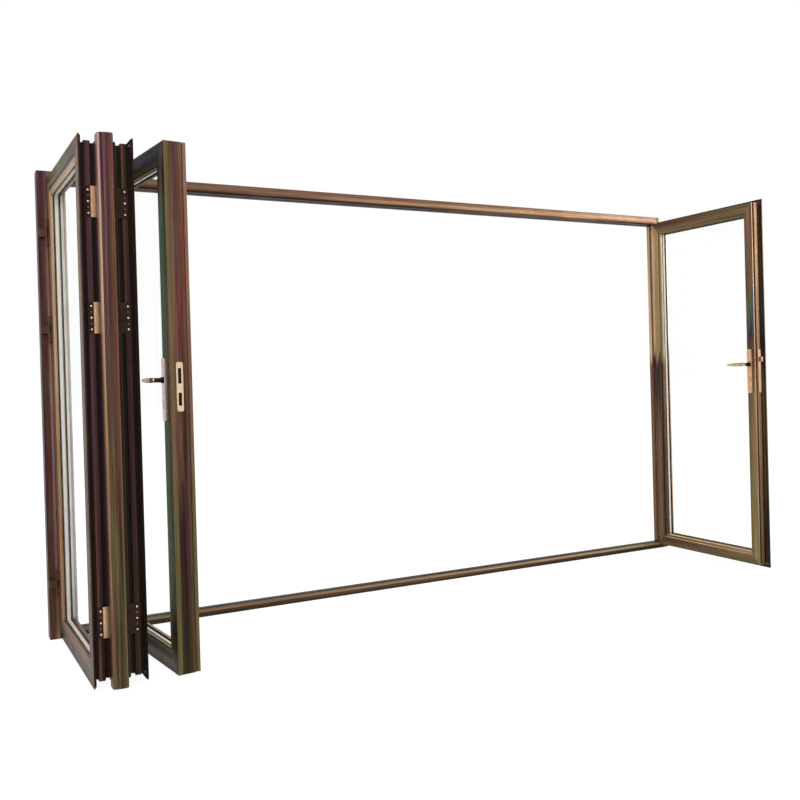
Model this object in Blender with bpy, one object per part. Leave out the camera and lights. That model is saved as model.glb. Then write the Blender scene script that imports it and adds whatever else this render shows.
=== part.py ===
"""Bifold glass patio door: three leaves folded at the left jamb and one hinged access leaf.

Frame: metres, +Z up, X along the track, -Y towards the outside of the building.
The origin is at the middle of the underside of the sill.
A leaf is modelled closed, in its own frame: u along its width, v from its outside face
to the room side, z up. Its pivot empty then turns it about its pin.
"""
import math

import bmesh
import bpy
from mathutils import Matrix, Vector

# Outer frame
FRAME_WIDTH = 3.600
FRAME_HEIGHT = 2.100
FRAME_DEPTH = 0.080
HEAD_FACE = 0.050
SILL_HEIGHT = 0.032
JAMB_FACE = 0.040

# Stop on the room side of a jamb, shadow groove in the faces, and sloped nose of the sill
STOP_HEIGHT = 0.010
STOP_CLEARANCE = 0.006
SHADOW_INSET = 0.013
SHADOW_WIDTH = 0.003
SHADOW_DEPTH = 0.002
NOSE_DROP = 0.008
NOSE_DEPTH = 0.014

# Track in the head and groove in the sill
TRACK_MOUTH = 0.014
TRACK_WIDTH = 0.034
TRACK_LIP = 0.004
TRACK_HEIGHT = 0.034
GROOVE_WIDTH = 0.014
GROOVE_DEPTH = 0.018

# Leaf section
LEAF_DEPTH = 0.065
STILE_FACE = 0.046
LIP_WIDTH = 0.027
LIP_THICKNESS = 0.005
RIDGE_HEIGHT = 0.008
RIDGE_WIDTH = 0.024
RIDGE_CHAMFER = 0.002
RIDGE_CENTRE = 0.033
UPSTAND_HEIGHT = 0.016
UPSTAND_THICKNESS = 0.014
FACE_STEP = 0.0015
GLASS_THICKNESS = 0.024
BEAD_DEPTH = 0.018
BEAD_CHAMFER = 0.005
BEVEL = 0.002
RUN_GAP = 0.005
LEAF_GAP = 0.007
LEAF_PROUD = 0.017

# Pins
PIN_RADIUS = 0.0065
PIN_PROUD = 0.008
JAMB_PIN_INSET = 0.033
FOLD_PIN_PROUD = 0.013
TRACK_PIN_OFFSET = 0.0155

# Post between the first two leaves, with a wing on each side at its back
POST_CLEARANCE = 0.0035
POST_SETBACK = 0.006
POST_NOSE = 0.014
POST_ROUNDING = 0.009
WING_WIDTH = 0.015
WING_THICKNESS = 0.0025

# Hinges: the lowest is set from the foot of the leaves, the others from their top
HINGE_HEIGHT = 0.116
FLAP_THICKNESS = 0.003
FLAP_START = 0.010
FLAP_REACH = 0.036
LOW_HINGE_RISE = 0.209
MIDDLE_HINGE_DROP = 0.649
TOP_HINGE_DROP = 0.218
KNUCKLE_GAP = 0.0012
PIN_CORE = 0.004
PIN_CLEARANCE = 0.0001
PIN_HEAD = 0.002
WEB_INSET = 0.0006
LINK_PROUD = 0.0007
ARM_HALF = 0.003
FOOT_INSET = 0.003
FOOT_WIDTH = 0.015
FOOT_THICKNESS = 0.005

# Carrier and guide
ARM_WIDTH = 0.008
ARM_HEIGHT = 0.010
CARRIER_KNUCKLE = 0.070
STEM_RADIUS = 0.005
CARRIAGE_LENGTH = 0.090
CARRIAGE_WIDTH = 0.022
CARRIAGE_HEIGHT = 0.014
WHEEL_RADIUS = 0.011
WHEEL_WIDTH = 0.008
AXLE_RADIUS = 0.003
CHASSIS_HALF = 0.003

# Pose of the folded leaves and of the access leaf, in degrees
LEAF_ONE_ANGLE = 88.3
LEAF_THREE_ANGLE = 83.2
ACCESS_ANGLE = 90.0

# Handles: backplate, key cylinder and lever
LEVER_LEVEL = 1.150
PLATE_LEVEL = 1.113
PLATE_HEIGHT = 0.244
PLATE_WIDTH = 0.034
PLATE_THICKNESS = 0.010
PLATE_CORNER = 0.007
PLATE_EDGE = 0.002
CYLINDER_LEVEL = 1.070
CYLINDER_RADIUS = 0.0085
CYLINDER_TONGUE = 0.010
CYLINDER_HEIGHT = 0.033
CYLINDER_PROUD = 0.003
KEYWAY_HEIGHT = 0.009
KEYWAY_WIDTH = 0.002
KEYWAY_DEPTH = 0.002
SPINDLE_INSET = 0.026
COLLAR_RADIUS = 0.012
COLLAR_THICKNESS = 0.007
LEVER_PROJECTION = 0.042
LEVER_LENGTH = 0.126
LEVER_HALF_DEPTH = 0.0065
LEVER_HALF_HEIGHT = 0.0105
LEVER_BEND = 0.016
NECK_SHARE = 0.85
TIP_SHARE = 0.35
LEVER_SIDES = 16
BEND_STEPS = 5
GRIP_STEPS = 7
CYLINDER_SIDES = 16

# Lock: keep plate, faceplate and latch
KEEP_LEVEL = 1.123
KEEP_HEIGHT = 0.190
KEEP_WIDTH = 0.026
KEEP_THICKNESS = 0.003
KEEP_SLOT_WIDTH = 0.013
KEEP_SLOTS = ((-0.048, 0.050), (0.042, 0.060))
KEEP_POCKET = 0.016
FACEPLATE_HEIGHT = 0.240
LATCH_LEVEL = 1.178
LATCH_THROW = 0.022
LATCH_HEIGHT = 0.026
LATCH_WIDTH = 0.011

# Cover strip on the free edge of the third leaf: a block behind the lip, and a flange on the room side
BLOCK_PROUD = 0.002
STRIP_NOTCH = 0.005
FLANGE_REACH = 0.019
FLANGE_THICKNESS = 0.010
FLANGE_SETBACK = 0.002

# Clearance between pieces that rest on each other
SEAT = 0.0003

# Facets: the widest angle shaded as one face, sides of round bars, and steps in a rounded corner
SMOOTH_ANGLE = math.radians(35)
BAR_SIDES = 20
CORNER_STEPS = 4

# Sizes that follow from the ones above
LEAF_TOP = FRAME_HEIGHT - HEAD_FACE - RUN_GAP - RIDGE_HEIGHT
LEAF_BOTTOM = SILL_HEIGHT + RUN_GAP + RIDGE_HEIGHT
LEAF_HEIGHT = LEAF_TOP - LEAF_BOTTOM
BODY_START = JAMB_FACE + RUN_GAP + RIDGE_HEIGHT
BODY_GAP = 2 * LIP_WIDTH + LEAF_GAP
LEAF_WIDTH = (FRAME_WIDTH - 2 * BODY_START - 3 * BODY_GAP) / 4
JAMB_OFFSET = BODY_START - JAMB_PIN_INSET
FOLD_PIN_U = RIDGE_HEIGHT + POST_CLEARANCE
FOLD_PIN_V = LEAF_DEPTH + FOLD_PIN_PROUD
POST_WIDTH = BODY_GAP - 2 * FOLD_PIN_U
FRAME_FRONT = -FRAME_DEPTH / 2
PIN_LINE = FRAME_FRONT - LEAF_PROUD - PIN_PROUD
TRACK_FLAP_START = BODY_GAP - TRACK_PIN_OFFSET - LIP_WIDTH + FLAP_START / 2
GLASS_FRONT = UPSTAND_THICKNESS + SEAT
BEAD_FRONT = GLASS_FRONT + GLASS_THICKNESS + SEAT
HALF_WIDTH = FRAME_WIDTH / 2
HEAD_UNDERSIDE = FRAME_HEIGHT - HEAD_FACE
STOP_FRONT = FRAME_FRONT - LEAF_PROUD + LEAF_DEPTH + STOP_CLEARANCE
HINGE_LEVELS = (LEAF_BOTTOM + LOW_HINGE_RISE, LEAF_TOP - MIDDLE_HINGE_DROP, LEAF_TOP - TOP_HINGE_DROP)
BLOCK_FACE = LEAF_WIDTH + LIP_WIDTH
BLOCK_BACK = LEAF_DEPTH + BLOCK_PROUD
KEEP_CENTRE = (LIP_THICKNESS + BLOCK_BACK) / 2

COLLECTION_NAME = "bifold_patio_door"
CUTTER_COLLECTION_NAME = "cutters"

BRONZE = ("dark_bronze", (0.060, 0.045, 0.032), 0.32, 0.9)
SILVER = ("champagne_hardware", (0.50, 0.42, 0.34), 0.30, 1.0)
GLASS = ("clear_glass", (0.92, 0.96, 0.95), 0.03, 0.0)


def clear_scene():
    """Remove whatever objects the scene holds."""
    for old in list(bpy.data.objects):
        bpy.data.objects.remove(old, do_unlink=True)


def make_collection(name):
    """Add a collection to the scene."""
    group = bpy.data.collections.new(name)
    bpy.context.scene.collection.children.link(group)
    return group


def add_material(piece, finish):
    """Give a piece its own material."""
    name, colour, roughness, metallic = finish
    material = bpy.data.materials.new(f"{piece.name}_{name}")
    material.use_nodes = True
    shader = material.node_tree.nodes["Principled BSDF"]
    shader.inputs["Base Color"].default_value = (*colour, 1.0)
    shader.inputs["Roughness"].default_value = roughness
    shader.inputs["Metallic"].default_value = metallic
    piece.data.materials.clear()
    piece.data.materials.append(material)


def turned(vector, angle):
    """A plan vector turned by an angle in degrees."""
    c = math.cos(math.radians(angle))
    s = math.sin(math.radians(angle))
    return Vector((c * vector[0] - s * vector[1], s * vector[0] + c * vector[1]))


def edit(mesh, change):
    """Run a bmesh change on a mesh and keep its faces pointing out."""
    shape = bmesh.new()
    shape.from_mesh(mesh)
    change(shape)
    bmesh.ops.recalc_face_normals(shape, faces=shape.faces)
    shape.to_mesh(mesh)
    shape.free()
    return mesh


def outline_mesh(name, points, length):
    """Mesh of a flat outline in its XY plane, extruded from z = 0 to length."""
    flat = bpy.data.curves.new(name + "_outline", "CURVE")
    flat.dimensions = "2D"
    flat.fill_mode = "BOTH"
    flat.extrude = length / 2
    spline = flat.splines.new("POLY")
    spline.points.add(len(points) - 1)
    for target, (x, y) in zip(spline.points, points):
        target.co = (x, y, 0.0, 1.0)
    spline.use_cyclic_u = True
    holder = bpy.data.objects.new(name + "_outline", flat)
    PARTS.objects.link(holder)
    bpy.context.view_layer.update()
    mesh = bpy.data.meshes.new_from_object(holder.evaluated_get(bpy.context.evaluated_depsgraph_get()))
    bpy.data.objects.remove(holder, do_unlink=True)
    bpy.data.curves.remove(flat)
    mesh.name = name

    def close(shape):
        bmesh.ops.translate(shape, vec=(0, 0, length / 2), verts=shape.verts)
        bmesh.ops.remove_doubles(shape, verts=shape.verts, dist=0.00001)

    return edit(mesh, close)


def box_mesh(name, low, high):
    """Mesh of a box between two corners, given in any order."""
    first = Vector([min(pair) for pair in zip(low, high)])
    last = Vector([max(pair) for pair in zip(low, high)])
    shape = bmesh.new()
    bmesh.ops.create_cube(shape, size=1.0)
    bmesh.ops.scale(shape, vec=last - first, verts=shape.verts)
    bmesh.ops.translate(shape, vec=(first + last) / 2, verts=shape.verts)
    mesh = bpy.data.meshes.new(name)
    shape.to_mesh(mesh)
    shape.free()
    return mesh


def bar_mesh(name, radius, start, end):
    """Mesh of a round bar between two points."""
    start = Vector(start)
    end = Vector(end)
    axis = end - start
    shape = bmesh.new()
    bmesh.ops.create_cone(shape, cap_ends=True, segments=BAR_SIDES, radius1=radius, radius2=radius,
                          depth=axis.length)
    turn = Vector((0, 0, 1)).rotation_difference(axis).to_matrix().to_4x4()
    bmesh.ops.transform(shape, matrix=Matrix.Translation((start + end) / 2) @ turn, verts=shape.verts)
    mesh = bpy.data.meshes.new(name)
    shape.to_mesh(mesh)
    shape.free()
    return mesh


def plate_outline(width, height, level, corner):
    """Outline of an upright plate with rounded corners, as (across, up) points."""
    across = width / 2 - corner
    up = height / 2 - corner
    points = []
    for quarter, (x, y) in enumerate(((across, up), (-across, up), (-across, -up), (across, -up))):
        for step in range(CORNER_STEPS + 1):
            angle = math.pi / 2 * (quarter + step / CORNER_STEPS)
            points.append((x + corner * math.cos(angle), level + y + corner * math.sin(angle)))
    return points


def shade(mesh):
    """Smooth the round faces of a mesh and keep its corners sharp."""
    mesh.shade_smooth()
    mesh.set_sharp_from_angle(angle=SMOOTH_ANGLE)


def place(name, mesh, finish, parent=None, location=(0, 0, 0)):
    """Make an object from a mesh, in the parts collection."""
    shade(mesh)
    piece = bpy.data.objects.new(name, mesh)
    PARTS.objects.link(piece)
    piece.parent = parent
    piece.location = location
    add_material(piece, finish)
    return piece


def combine(piece, mesh, operation):
    """Join a mesh to a piece, or cut it away, with an exact Boolean."""
    shade(mesh)
    helper = bpy.data.objects.new(mesh.name, mesh)
    CUTTERS.objects.link(helper)
    helper.parent = piece.parent
    helper.location = piece.location
    helper.hide_render = True
    helper.display_type = "WIRE"
    boolean = piece.modifiers.new(mesh.name, "BOOLEAN")
    boolean.operation = operation
    boolean.solver = "EXACT"
    boolean.object = helper


def union(name, meshes, finish, parent=None, location=(0, 0, 0)):
    """One piece made of several overlapping meshes."""
    piece = place(name, meshes[0], finish, parent, location)
    for index, mesh in enumerate(meshes[1:], start=1):
        mesh.name = f"{name}_join_{index}"
        combine(piece, mesh, "UNION")
    return piece


class Leaf:
    """One leaf: its pivot empty stands on its pin, and its pieces hang from the empty."""

    def __init__(self, number, pin, pin_local, angle):
        self.tag = f"leaf_{number}"
        self.angle = angle
        self.pin_local = Vector((*pin_local, 0))
        self.empty = bpy.data.objects.new(f"{self.tag}_pivot", None)
        PARTS.objects.link(self.empty)
        self.empty.location = (*pin, 0)
        self.empty.rotation_euler = (0, 0, math.radians(angle))
        self.pin = Vector((*pin, 0))

    def matrix(self):
        """World matrix of the leaf's own frame."""
        turn = Matrix.Rotation(math.radians(self.angle), 4, "Z")
        return Matrix.Translation(self.pin) @ turn @ Matrix.Translation(-self.pin_local)

    def place(self, name, mesh, finish):
        """Hang a piece that is modelled in the leaf's frame."""
        return place(name, mesh, finish, self.empty, tuple(-self.pin_local))

    def union(self, name, meshes, finish):
        """Hang one piece made of several meshes."""
        return union(name, meshes, finish, self.empty, tuple(-self.pin_local))

    def in_world(self, mesh):
        """Carry a mesh from the leaf's frame to the world."""
        mesh.transform(self.matrix())
        return mesh


def leaf_outline():
    """Section of a leaf bar: across from the body edge to the glass, then depth."""
    ridge_low = RIDGE_CENTRE - RIDGE_WIDTH / 2
    ridge_high = RIDGE_CENTRE + RIDGE_WIDTH / 2
    upstand = STILE_FACE + UPSTAND_HEIGHT
    return [
        (-LIP_WIDTH, 0),
        (STILE_FACE, 0),
        (STILE_FACE + FACE_STEP, FACE_STEP),
        (upstand - BEVEL, FACE_STEP),
        (upstand, FACE_STEP + BEVEL),
        (upstand, UPSTAND_THICKNESS),
        (STILE_FACE, UPSTAND_THICKNESS),
        (STILE_FACE, BEAD_FRONT),
        (upstand, BEAD_FRONT),
        (upstand, BEAD_FRONT + BEAD_DEPTH - BEAD_CHAMFER),
        (upstand - BEAD_CHAMFER, BEAD_FRONT + BEAD_DEPTH),
        (STILE_FACE, BEAD_FRONT + BEAD_DEPTH),
        (STILE_FACE, LEAF_DEPTH - BEVEL),
        (STILE_FACE - BEVEL, LEAF_DEPTH),
        (-RIDGE_HEIGHT, LEAF_DEPTH),
        (-RIDGE_HEIGHT, LEAF_DEPTH - LIP_THICKNESS),
        (0, LEAF_DEPTH - LIP_THICKNESS),
        (0, ridge_high),
        (RIDGE_CHAMFER - RIDGE_HEIGHT, ridge_high),
        (-RIDGE_HEIGHT, ridge_high - RIDGE_CHAMFER),
        (-RIDGE_HEIGHT, ridge_low + RIDGE_CHAMFER),
        (RIDGE_CHAMFER - RIDGE_HEIGHT, ridge_low),
        (0, ridge_low),
        (0, LIP_THICKNESS),
        (-LIP_WIDTH, LIP_THICKNESS),
    ]


def mitred_bar(leaf, name, length, along, across, origin):
    """A leaf bar with both ends cut at 45 degrees."""
    mesh = outline_mesh(name, leaf_outline(), length)

    def mitre(shape):
        for vert in shape.verts:
            if vert.co.z < length / 2:
                vert.co.z = vert.co.x + SEAT / 2
            else:
                vert.co.z = length - vert.co.x - SEAT / 2

    edit(mesh, mitre)
    turn = Matrix((across, (0, 1, 0), along)).transposed().to_4x4()
    mesh.transform(Matrix.Translation(origin) @ turn)
    edit(mesh, lambda shape: None)
    leaf.place(name, mesh, BRONZE)


def rectangle(inset):
    """Rectangle inside a leaf, inset from the edges of its body, as (u, z) points."""
    return [(inset, LEAF_BOTTOM + inset), (LEAF_WIDTH - inset, LEAF_BOTTOM + inset),
            (LEAF_WIDTH - inset, LEAF_TOP - inset), (inset, LEAF_TOP - inset)]


def upright(mesh, front, thickness):
    """Stand a flat (u, z) plate up, with its face towards the outside at v = front."""
    mesh.transform(Matrix.Translation((0, front + thickness, 0)) @ Matrix.Rotation(math.pi / 2, 4, "X"))
    return mesh


def build_glass(leaf):
    """The sealed glass unit, held between the upstand and the bead of each bar."""
    pane = outline_mesh(f"{leaf.tag}_glass", rectangle(STILE_FACE + SEAT), GLASS_THICKNESS)
    leaf.place(f"{leaf.tag}_glass", upright(pane, GLASS_FRONT, GLASS_THICKNESS), GLASS)


def build_leaf(leaf):
    """The four mitred bars and the glass of one leaf."""
    u = Vector((1, 0, 0))
    z = Vector((0, 0, 1))
    foot = (0, 0, LEAF_BOTTOM)
    mitred_bar(leaf, f"{leaf.tag}_left_stile", LEAF_HEIGHT, z, u, foot)
    mitred_bar(leaf, f"{leaf.tag}_right_stile", LEAF_HEIGHT, z, -u, (LEAF_WIDTH, 0, LEAF_BOTTOM))
    mitred_bar(leaf, f"{leaf.tag}_top_rail", LEAF_WIDTH, u, -z, (0, 0, LEAF_TOP))
    mitred_bar(leaf, f"{leaf.tag}_bottom_rail", LEAF_WIDTH, u, z, foot)
    build_glass(leaf)


def head_outline():
    """Section of the head, as (depth, height): the open track, and a shadow groove in the front."""
    mouth = TRACK_MOUTH / 2
    cavity = TRACK_WIDTH / 2
    low = HEAD_UNDERSIDE
    track = low + TRACK_LIP
    ceiling = track + TRACK_HEIGHT
    front = FRAME_FRONT
    back = -FRAME_FRONT
    shadow = FRAME_HEIGHT - SHADOW_INSET
    return [(front, low), (-mouth, low), (-mouth, track), (-cavity, track), (-cavity, ceiling),
            (cavity, ceiling), (cavity, track), (mouth, track), (mouth, low), (back, low),
            (back, FRAME_HEIGHT), (front, FRAME_HEIGHT), (front, shadow),
            (front + SHADOW_DEPTH, shadow), (front + SHADOW_DEPTH, shadow - SHADOW_WIDTH),
            (front, shadow - SHADOW_WIDTH)]


def sill_outline():
    """Section of the sill, as (depth, height): a sloped nose outside, and the guide groove."""
    front = FRAME_FRONT
    back = -FRAME_FRONT
    groove = GROOVE_WIDTH / 2
    floor = SILL_HEIGHT - GROOVE_DEPTH
    return [(front, 0), (back, 0), (back, SILL_HEIGHT), (groove, SILL_HEIGHT), (groove, floor),
            (-groove, floor), (-groove, SILL_HEIGHT), (front + NOSE_DEPTH, SILL_HEIGHT),
            (front, SILL_HEIGHT - NOSE_DROP)]


def build_jamb(name, side):
    """A jamb with a shadow groove in its front, and a stop on the room side between sill and head."""
    front = FRAME_FRONT
    back = -FRAME_FRONT
    outer = side * HALF_WIDTH
    inner = outer - side * JAMB_FACE
    near = outer - side * SHADOW_INSET
    far = near - side * SHADOW_WIDTH
    outline = [(outer, front), (near, front), (near, front + SHADOW_DEPTH), (far, front + SHADOW_DEPTH),
               (far, front), (inner, front), (inner, back), (outer, back)]
    stop = box_mesh(f"{name}_stop", (near, STOP_FRONT, SILL_HEIGHT + SEAT),
                    (inner - side * STOP_HEIGHT, back - SHADOW_DEPTH, HEAD_UNDERSIDE - SEAT))
    union(name, [outline_mesh(name, outline, FRAME_HEIGHT), stop], BRONZE)


def build_frame():
    """Head with its track, sill with its guide groove, and the two jambs."""
    start = -HALF_WIDTH + JAMB_FACE + SEAT
    along = Matrix(((0, 0, 1, start), (1, 0, 0, 0), (0, 1, 0, 0), (0, 0, 0, 1)))
    for name, outline in (("frame_head", head_outline()), ("frame_sill", sill_outline())):
        mesh = outline_mesh(name, outline, -2 * start)
        mesh.transform(along)
        place(name, mesh, BRONZE)
    build_jamb("frame_jamb_left", -1)
    build_jamb("frame_jamb_right", 1)


def jamb_arm(name, side, low, high):
    """Meshes of the fixed half of a jamb hinge, which wraps round the lip of the leaf."""
    edge = side * HALF_WIDTH
    pin = edge - side * JAMB_PIN_INSET
    foot = edge - side * FOOT_INSET
    riser = foot - side * 2 * ARM_HALF
    toe = foot - side * FOOT_WIDTH
    inner = PIN_LINE + ARM_HALF
    seat = FRAME_FRONT - SEAT
    front = FRAME_FRONT - FOOT_THICKNESS
    outline = [(foot, PIN_LINE - ARM_HALF), (pin, PIN_LINE - ARM_HALF), (pin, inner), (riser, inner),
               (riser, front), (toe, front), (toe, seat), (foot, seat)]
    arm = outline_mesh(f"{name}_arm", outline, high - low - 2 * WEB_INSET)
    arm.transform(Matrix.Translation((0, 0, low + WEB_INSET)))
    return [arm, bar_mesh(f"{name}_knuckle", PIN_RADIUS, (pin, PIN_LINE, low), (pin, PIN_LINE, high))]


def face_flap(name, pin_u, direction, ends, knuckles, start=FLAP_START):
    """Meshes of a hinge half on the outside face of a leaf: a plate, and knuckles on webs."""
    near = pin_u + direction * start
    far = near + direction * (FLAP_REACH - FLAP_START)
    web = near + direction * ARM_HALF
    meshes = [box_mesh(f"{name}_plate", (near, -FLAP_THICKNESS - SEAT, ends[0]), (far, -SEAT, ends[1]))]
    for index, (low, high) in enumerate(knuckles):
        meshes.append(box_mesh(f"{name}_web_{index}", (pin_u, -PIN_PROUD - ARM_HALF / 3, low + WEB_INSET),
                               (web, -FLAP_THICKNESS / 2 - SEAT, high - WEB_INSET)))
        meshes.append(bar_mesh(f"{name}_knuckle_{index}", PIN_RADIUS, (pin_u, -PIN_PROUD, low),
                               (pin_u, -PIN_PROUD, high)))
    return meshes


def outer_knuckles(ends):
    """Height ranges of the two outer knuckles of a three-knuckle hinge."""
    third = (ends[1] - ends[0]) / 3
    return [(ends[0], ends[0] + third), (ends[1] - third, ends[1])]


def middle_knuckle(ends):
    """Height range of the middle knuckle of a three-knuckle hinge."""
    third = (ends[1] - ends[0]) / 3
    return ends[0] + third + KNUCKLE_GAP, ends[1] - third - KNUCKLE_GAP


def pin_mesh(name, x, y, ends, radius=PIN_CORE):
    """Mesh of a hinge pin that stands out a little at both ends."""
    return bar_mesh(f"{name}_pin", radius, (x, y, ends[0] - PIN_HEAD), (x, y, ends[1] + PIN_HEAD))


def build_jamb_hinges(leaf_one, leaf_four):
    """Hinges of the first leaf and of the access leaf on their jambs."""
    for index, centre in enumerate(HINGE_LEVELS, start=1):
        ends = (centre - HINGE_HEIGHT / 2, centre + HINGE_HEIGHT / 2)
        name = f"jamb_hinge_left_{index}"
        flap = face_flap(name, leaf_one.pin_local.x, 1, ends, outer_knuckles(ends))
        meshes = jamb_arm(name, -1, *middle_knuckle(ends)) + [leaf_one.in_world(mesh) for mesh in flap]
        union(name, meshes + [pin_mesh(name, *leaf_one.pin.xy, ends)], BRONZE)
        name = f"jamb_hinge_right_{index}"
        fixed = union(f"{name}_fixed", jamb_arm(name, 1, *middle_knuckle(ends)), BRONZE)
        bore = pin_mesh(f"{name}_bore", *leaf_four.pin.xy, ends, PIN_CORE + PIN_CLEARANCE)
        combine(fixed, bore, "DIFFERENCE")
        flap = face_flap(name, leaf_four.pin_local.x, -1, ends, outer_knuckles(ends))
        leaf_four.union(f"{name}_leaf", flap + [pin_mesh(name, *leaf_four.pin_local.xy, ends)], BRONZE)


def track_flaps(name, ends, leaf_two, leaf_three):
    """Meshes of the two flaps that meet at the pin under the track, one on each leaf."""
    two = face_flap(f"{name}_two", LEAF_WIDTH + TRACK_PIN_OFFSET, -1, ends, outer_knuckles(ends))
    middle = [middle_knuckle(ends)]
    three = face_flap(f"{name}_three", leaf_three.pin_local.x, 1, ends, middle, TRACK_FLAP_START)
    pin = pin_mesh(name, *leaf_three.pin.xy, ends)
    return [leaf_two.in_world(mesh) for mesh in two] + [leaf_three.in_world(mesh) for mesh in three] + [pin]


def build_track_hinges(leaf_two, leaf_three):
    """Hinges between the second and third leaves, on their outside faces."""
    for index, centre in enumerate(HINGE_LEVELS, start=1):
        name = f"track_hinge_{index}"
        ends = (centre - HINGE_HEIGHT / 2, centre + HINGE_HEIGHT / 2)
        union(name, track_flaps(name, ends, leaf_two, leaf_three), BRONZE)


def edge_flap(name, edge, direction, low, high):
    """Meshes of a hinge half on the edge of a leaf, from its ridge to the pin on the room side."""
    inner = edge + direction * (RIDGE_HEIGHT + SEAT)
    outer = edge + direction * (RIDGE_HEIGHT + FLAP_THICKNESS + SEAT)
    pin_u = edge + direction * FOLD_PIN_U
    return [
        box_mesh(f"{name}_plate", (inner, RIDGE_CENTRE - RIDGE_WIDTH / 2, low), (outer, FOLD_PIN_V, high)),
        bar_mesh(f"{name}_knuckle", PIN_RADIUS, (pin_u, FOLD_PIN_V, low + WEB_INSET),
                 (pin_u, FOLD_PIN_V, high - WEB_INSET)),
    ]


def post_outline(side, front, back):
    """Right half of the post's section: a rounded front corner, the stem and the wing at its back."""
    points = []
    for step in range(CORNER_STEPS + 1):
        angle = math.pi / 2 * step / CORNER_STEPS
        points.append((side - POST_ROUNDING + POST_ROUNDING * math.sin(angle),
                       front + POST_ROUNDING - POST_ROUNDING * math.cos(angle)))
    wing = back - WING_THICKNESS
    return points + [(side, wing), (side + WING_WIDTH, wing), (side + WING_WIDTH, back)]


def build_post(centre):
    """The upright post at the fold: stepped at both ends, its wings notched at the hinges."""
    front = centre.y - (FOLD_PIN_V - POST_SETBACK)
    back = centre.y - PIN_RADIUS - LINK_PROUD - SEAT
    side = POST_WIDTH / 2 - SEAT
    half = post_outline(side, front, back)
    outline = [(centre.x + x, y) for x, y in half] + [(centre.x - x, y) for x, y in reversed(half)]
    low = LEAF_BOTTOM - LIP_WIDTH
    high = LEAF_TOP + LIP_WIDTH
    mesh = outline_mesh("fold_post", outline, high - low)
    mesh.transform(Matrix.Translation((0, 0, low)))
    post = place("fold_post", mesh, BRONZE)
    step = front + POST_NOSE
    outer = side + 2 * WING_WIDTH
    for name, bottom, top in (("post_top_step", LEAF_TOP + RIDGE_HEIGHT, high + RUN_GAP),
                              ("post_bottom_step", low - RUN_GAP, LEAF_BOTTOM - RIDGE_HEIGHT)):
        cut = box_mesh(name, (centre.x - outer, step, bottom), (centre.x + outer, back + RUN_GAP, top))
        combine(post, cut, "DIFFERENCE")
    reach = HINGE_HEIGHT / 2 + RUN_GAP
    for index, level in enumerate(HINGE_LEVELS, start=1):
        for tag, turn in (("left", -1), ("right", 1)):
            cut = box_mesh(f"post_{tag}_notch_{index}",
                           (centre.x + turn * (side - BEVEL / 2), back - 2 * WING_THICKNESS, level - reach),
                           (centre.x + turn * outer, back + RUN_GAP, level + reach))
            combine(post, cut, "DIFFERENCE")


def build_fold_hinges(leaf_one, leaf_two, fold_left, fold_right):
    """The double hinges of the fold, each with a flap on either leaf and a link between its two pins."""
    for index, level in enumerate(HINGE_LEVELS, start=1):
        name = f"fold_hinge_{index}"
        bottom = level - HINGE_HEIGHT / 2
        top = level + HINGE_HEIGHT / 2
        left = [leaf_one.in_world(mesh) for mesh in edge_flap(f"{name}_left", LEAF_WIDTH, 1, bottom, top)]
        right = [leaf_two.in_world(mesh) for mesh in edge_flap(f"{name}_right", 0, -1, bottom, top)]
        front_left = (fold_left.x - LINK_PROUD, fold_left.y - PIN_RADIUS - LINK_PROUD, bottom + 2 * WEB_INSET)
        back_right = (fold_right.x + LINK_PROUD, fold_right.y + ARM_HALF, top - 2 * WEB_INSET)
        link = box_mesh(f"{name}_link", front_left, back_right)
        union(name, [link] + left + right, SILVER)


def carrier_arm(name, pin, low, high):
    """Mesh of the arm that reaches from the pin to the middle of the track."""
    half = ARM_WIDTH / 2
    return box_mesh(f"{name}_arm", (pin.x - half, pin.y - half, low), (pin.x + half, STEM_RADIUS, high))


def build_top_carrier(pin, leaf_two, leaf_three):
    """Carrier that hangs the folded leaves from the track: flaps, arm, stem and wheeled carriage."""
    name = "top_carrier"
    top = LEAF_TOP - ARM_HEIGHT
    meshes = track_flaps(name, (LEAF_TOP - CARRIER_KNUCKLE, top), leaf_two, leaf_three)
    meshes.append(carrier_arm(name, pin, top - ARM_WIDTH / 2, LEAF_TOP + SEAT))
    axle = HEAD_UNDERSIDE + TRACK_LIP + SEAT + WHEEL_RADIUS
    meshes.append(bar_mesh(f"{name}_stem", STEM_RADIUS, (pin.x, 0, top + ARM_HEIGHT / 2), (pin.x, 0, axle)))
    half_length = CARRIAGE_LENGTH / 2
    half_width = CARRIAGE_WIDTH / 2
    low = (pin.x - half_length, -CHASSIS_HALF, axle - CARRIAGE_HEIGHT / 2)
    high = (pin.x + half_length, CHASSIS_HALF, axle + CARRIAGE_HEIGHT / 2)
    meshes.append(box_mesh(f"{name}_chassis", low, high))
    for shift in (-1, 1):
        x = pin.x + shift * (half_length - WHEEL_RADIUS)
        meshes.append(bar_mesh(f"{name}_axle", AXLE_RADIUS, (x, -half_width, axle), (x, half_width, axle)))
        for side in (-1, 1):
            inner = (x, side * (half_width - WHEEL_WIDTH / 2), axle)
            outer = (x, side * (half_width + WHEEL_WIDTH / 2), axle)
            meshes.append(bar_mesh(f"{name}_wheel", WHEEL_RADIUS, inner, outer))
    union(name, meshes, SILVER)


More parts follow.
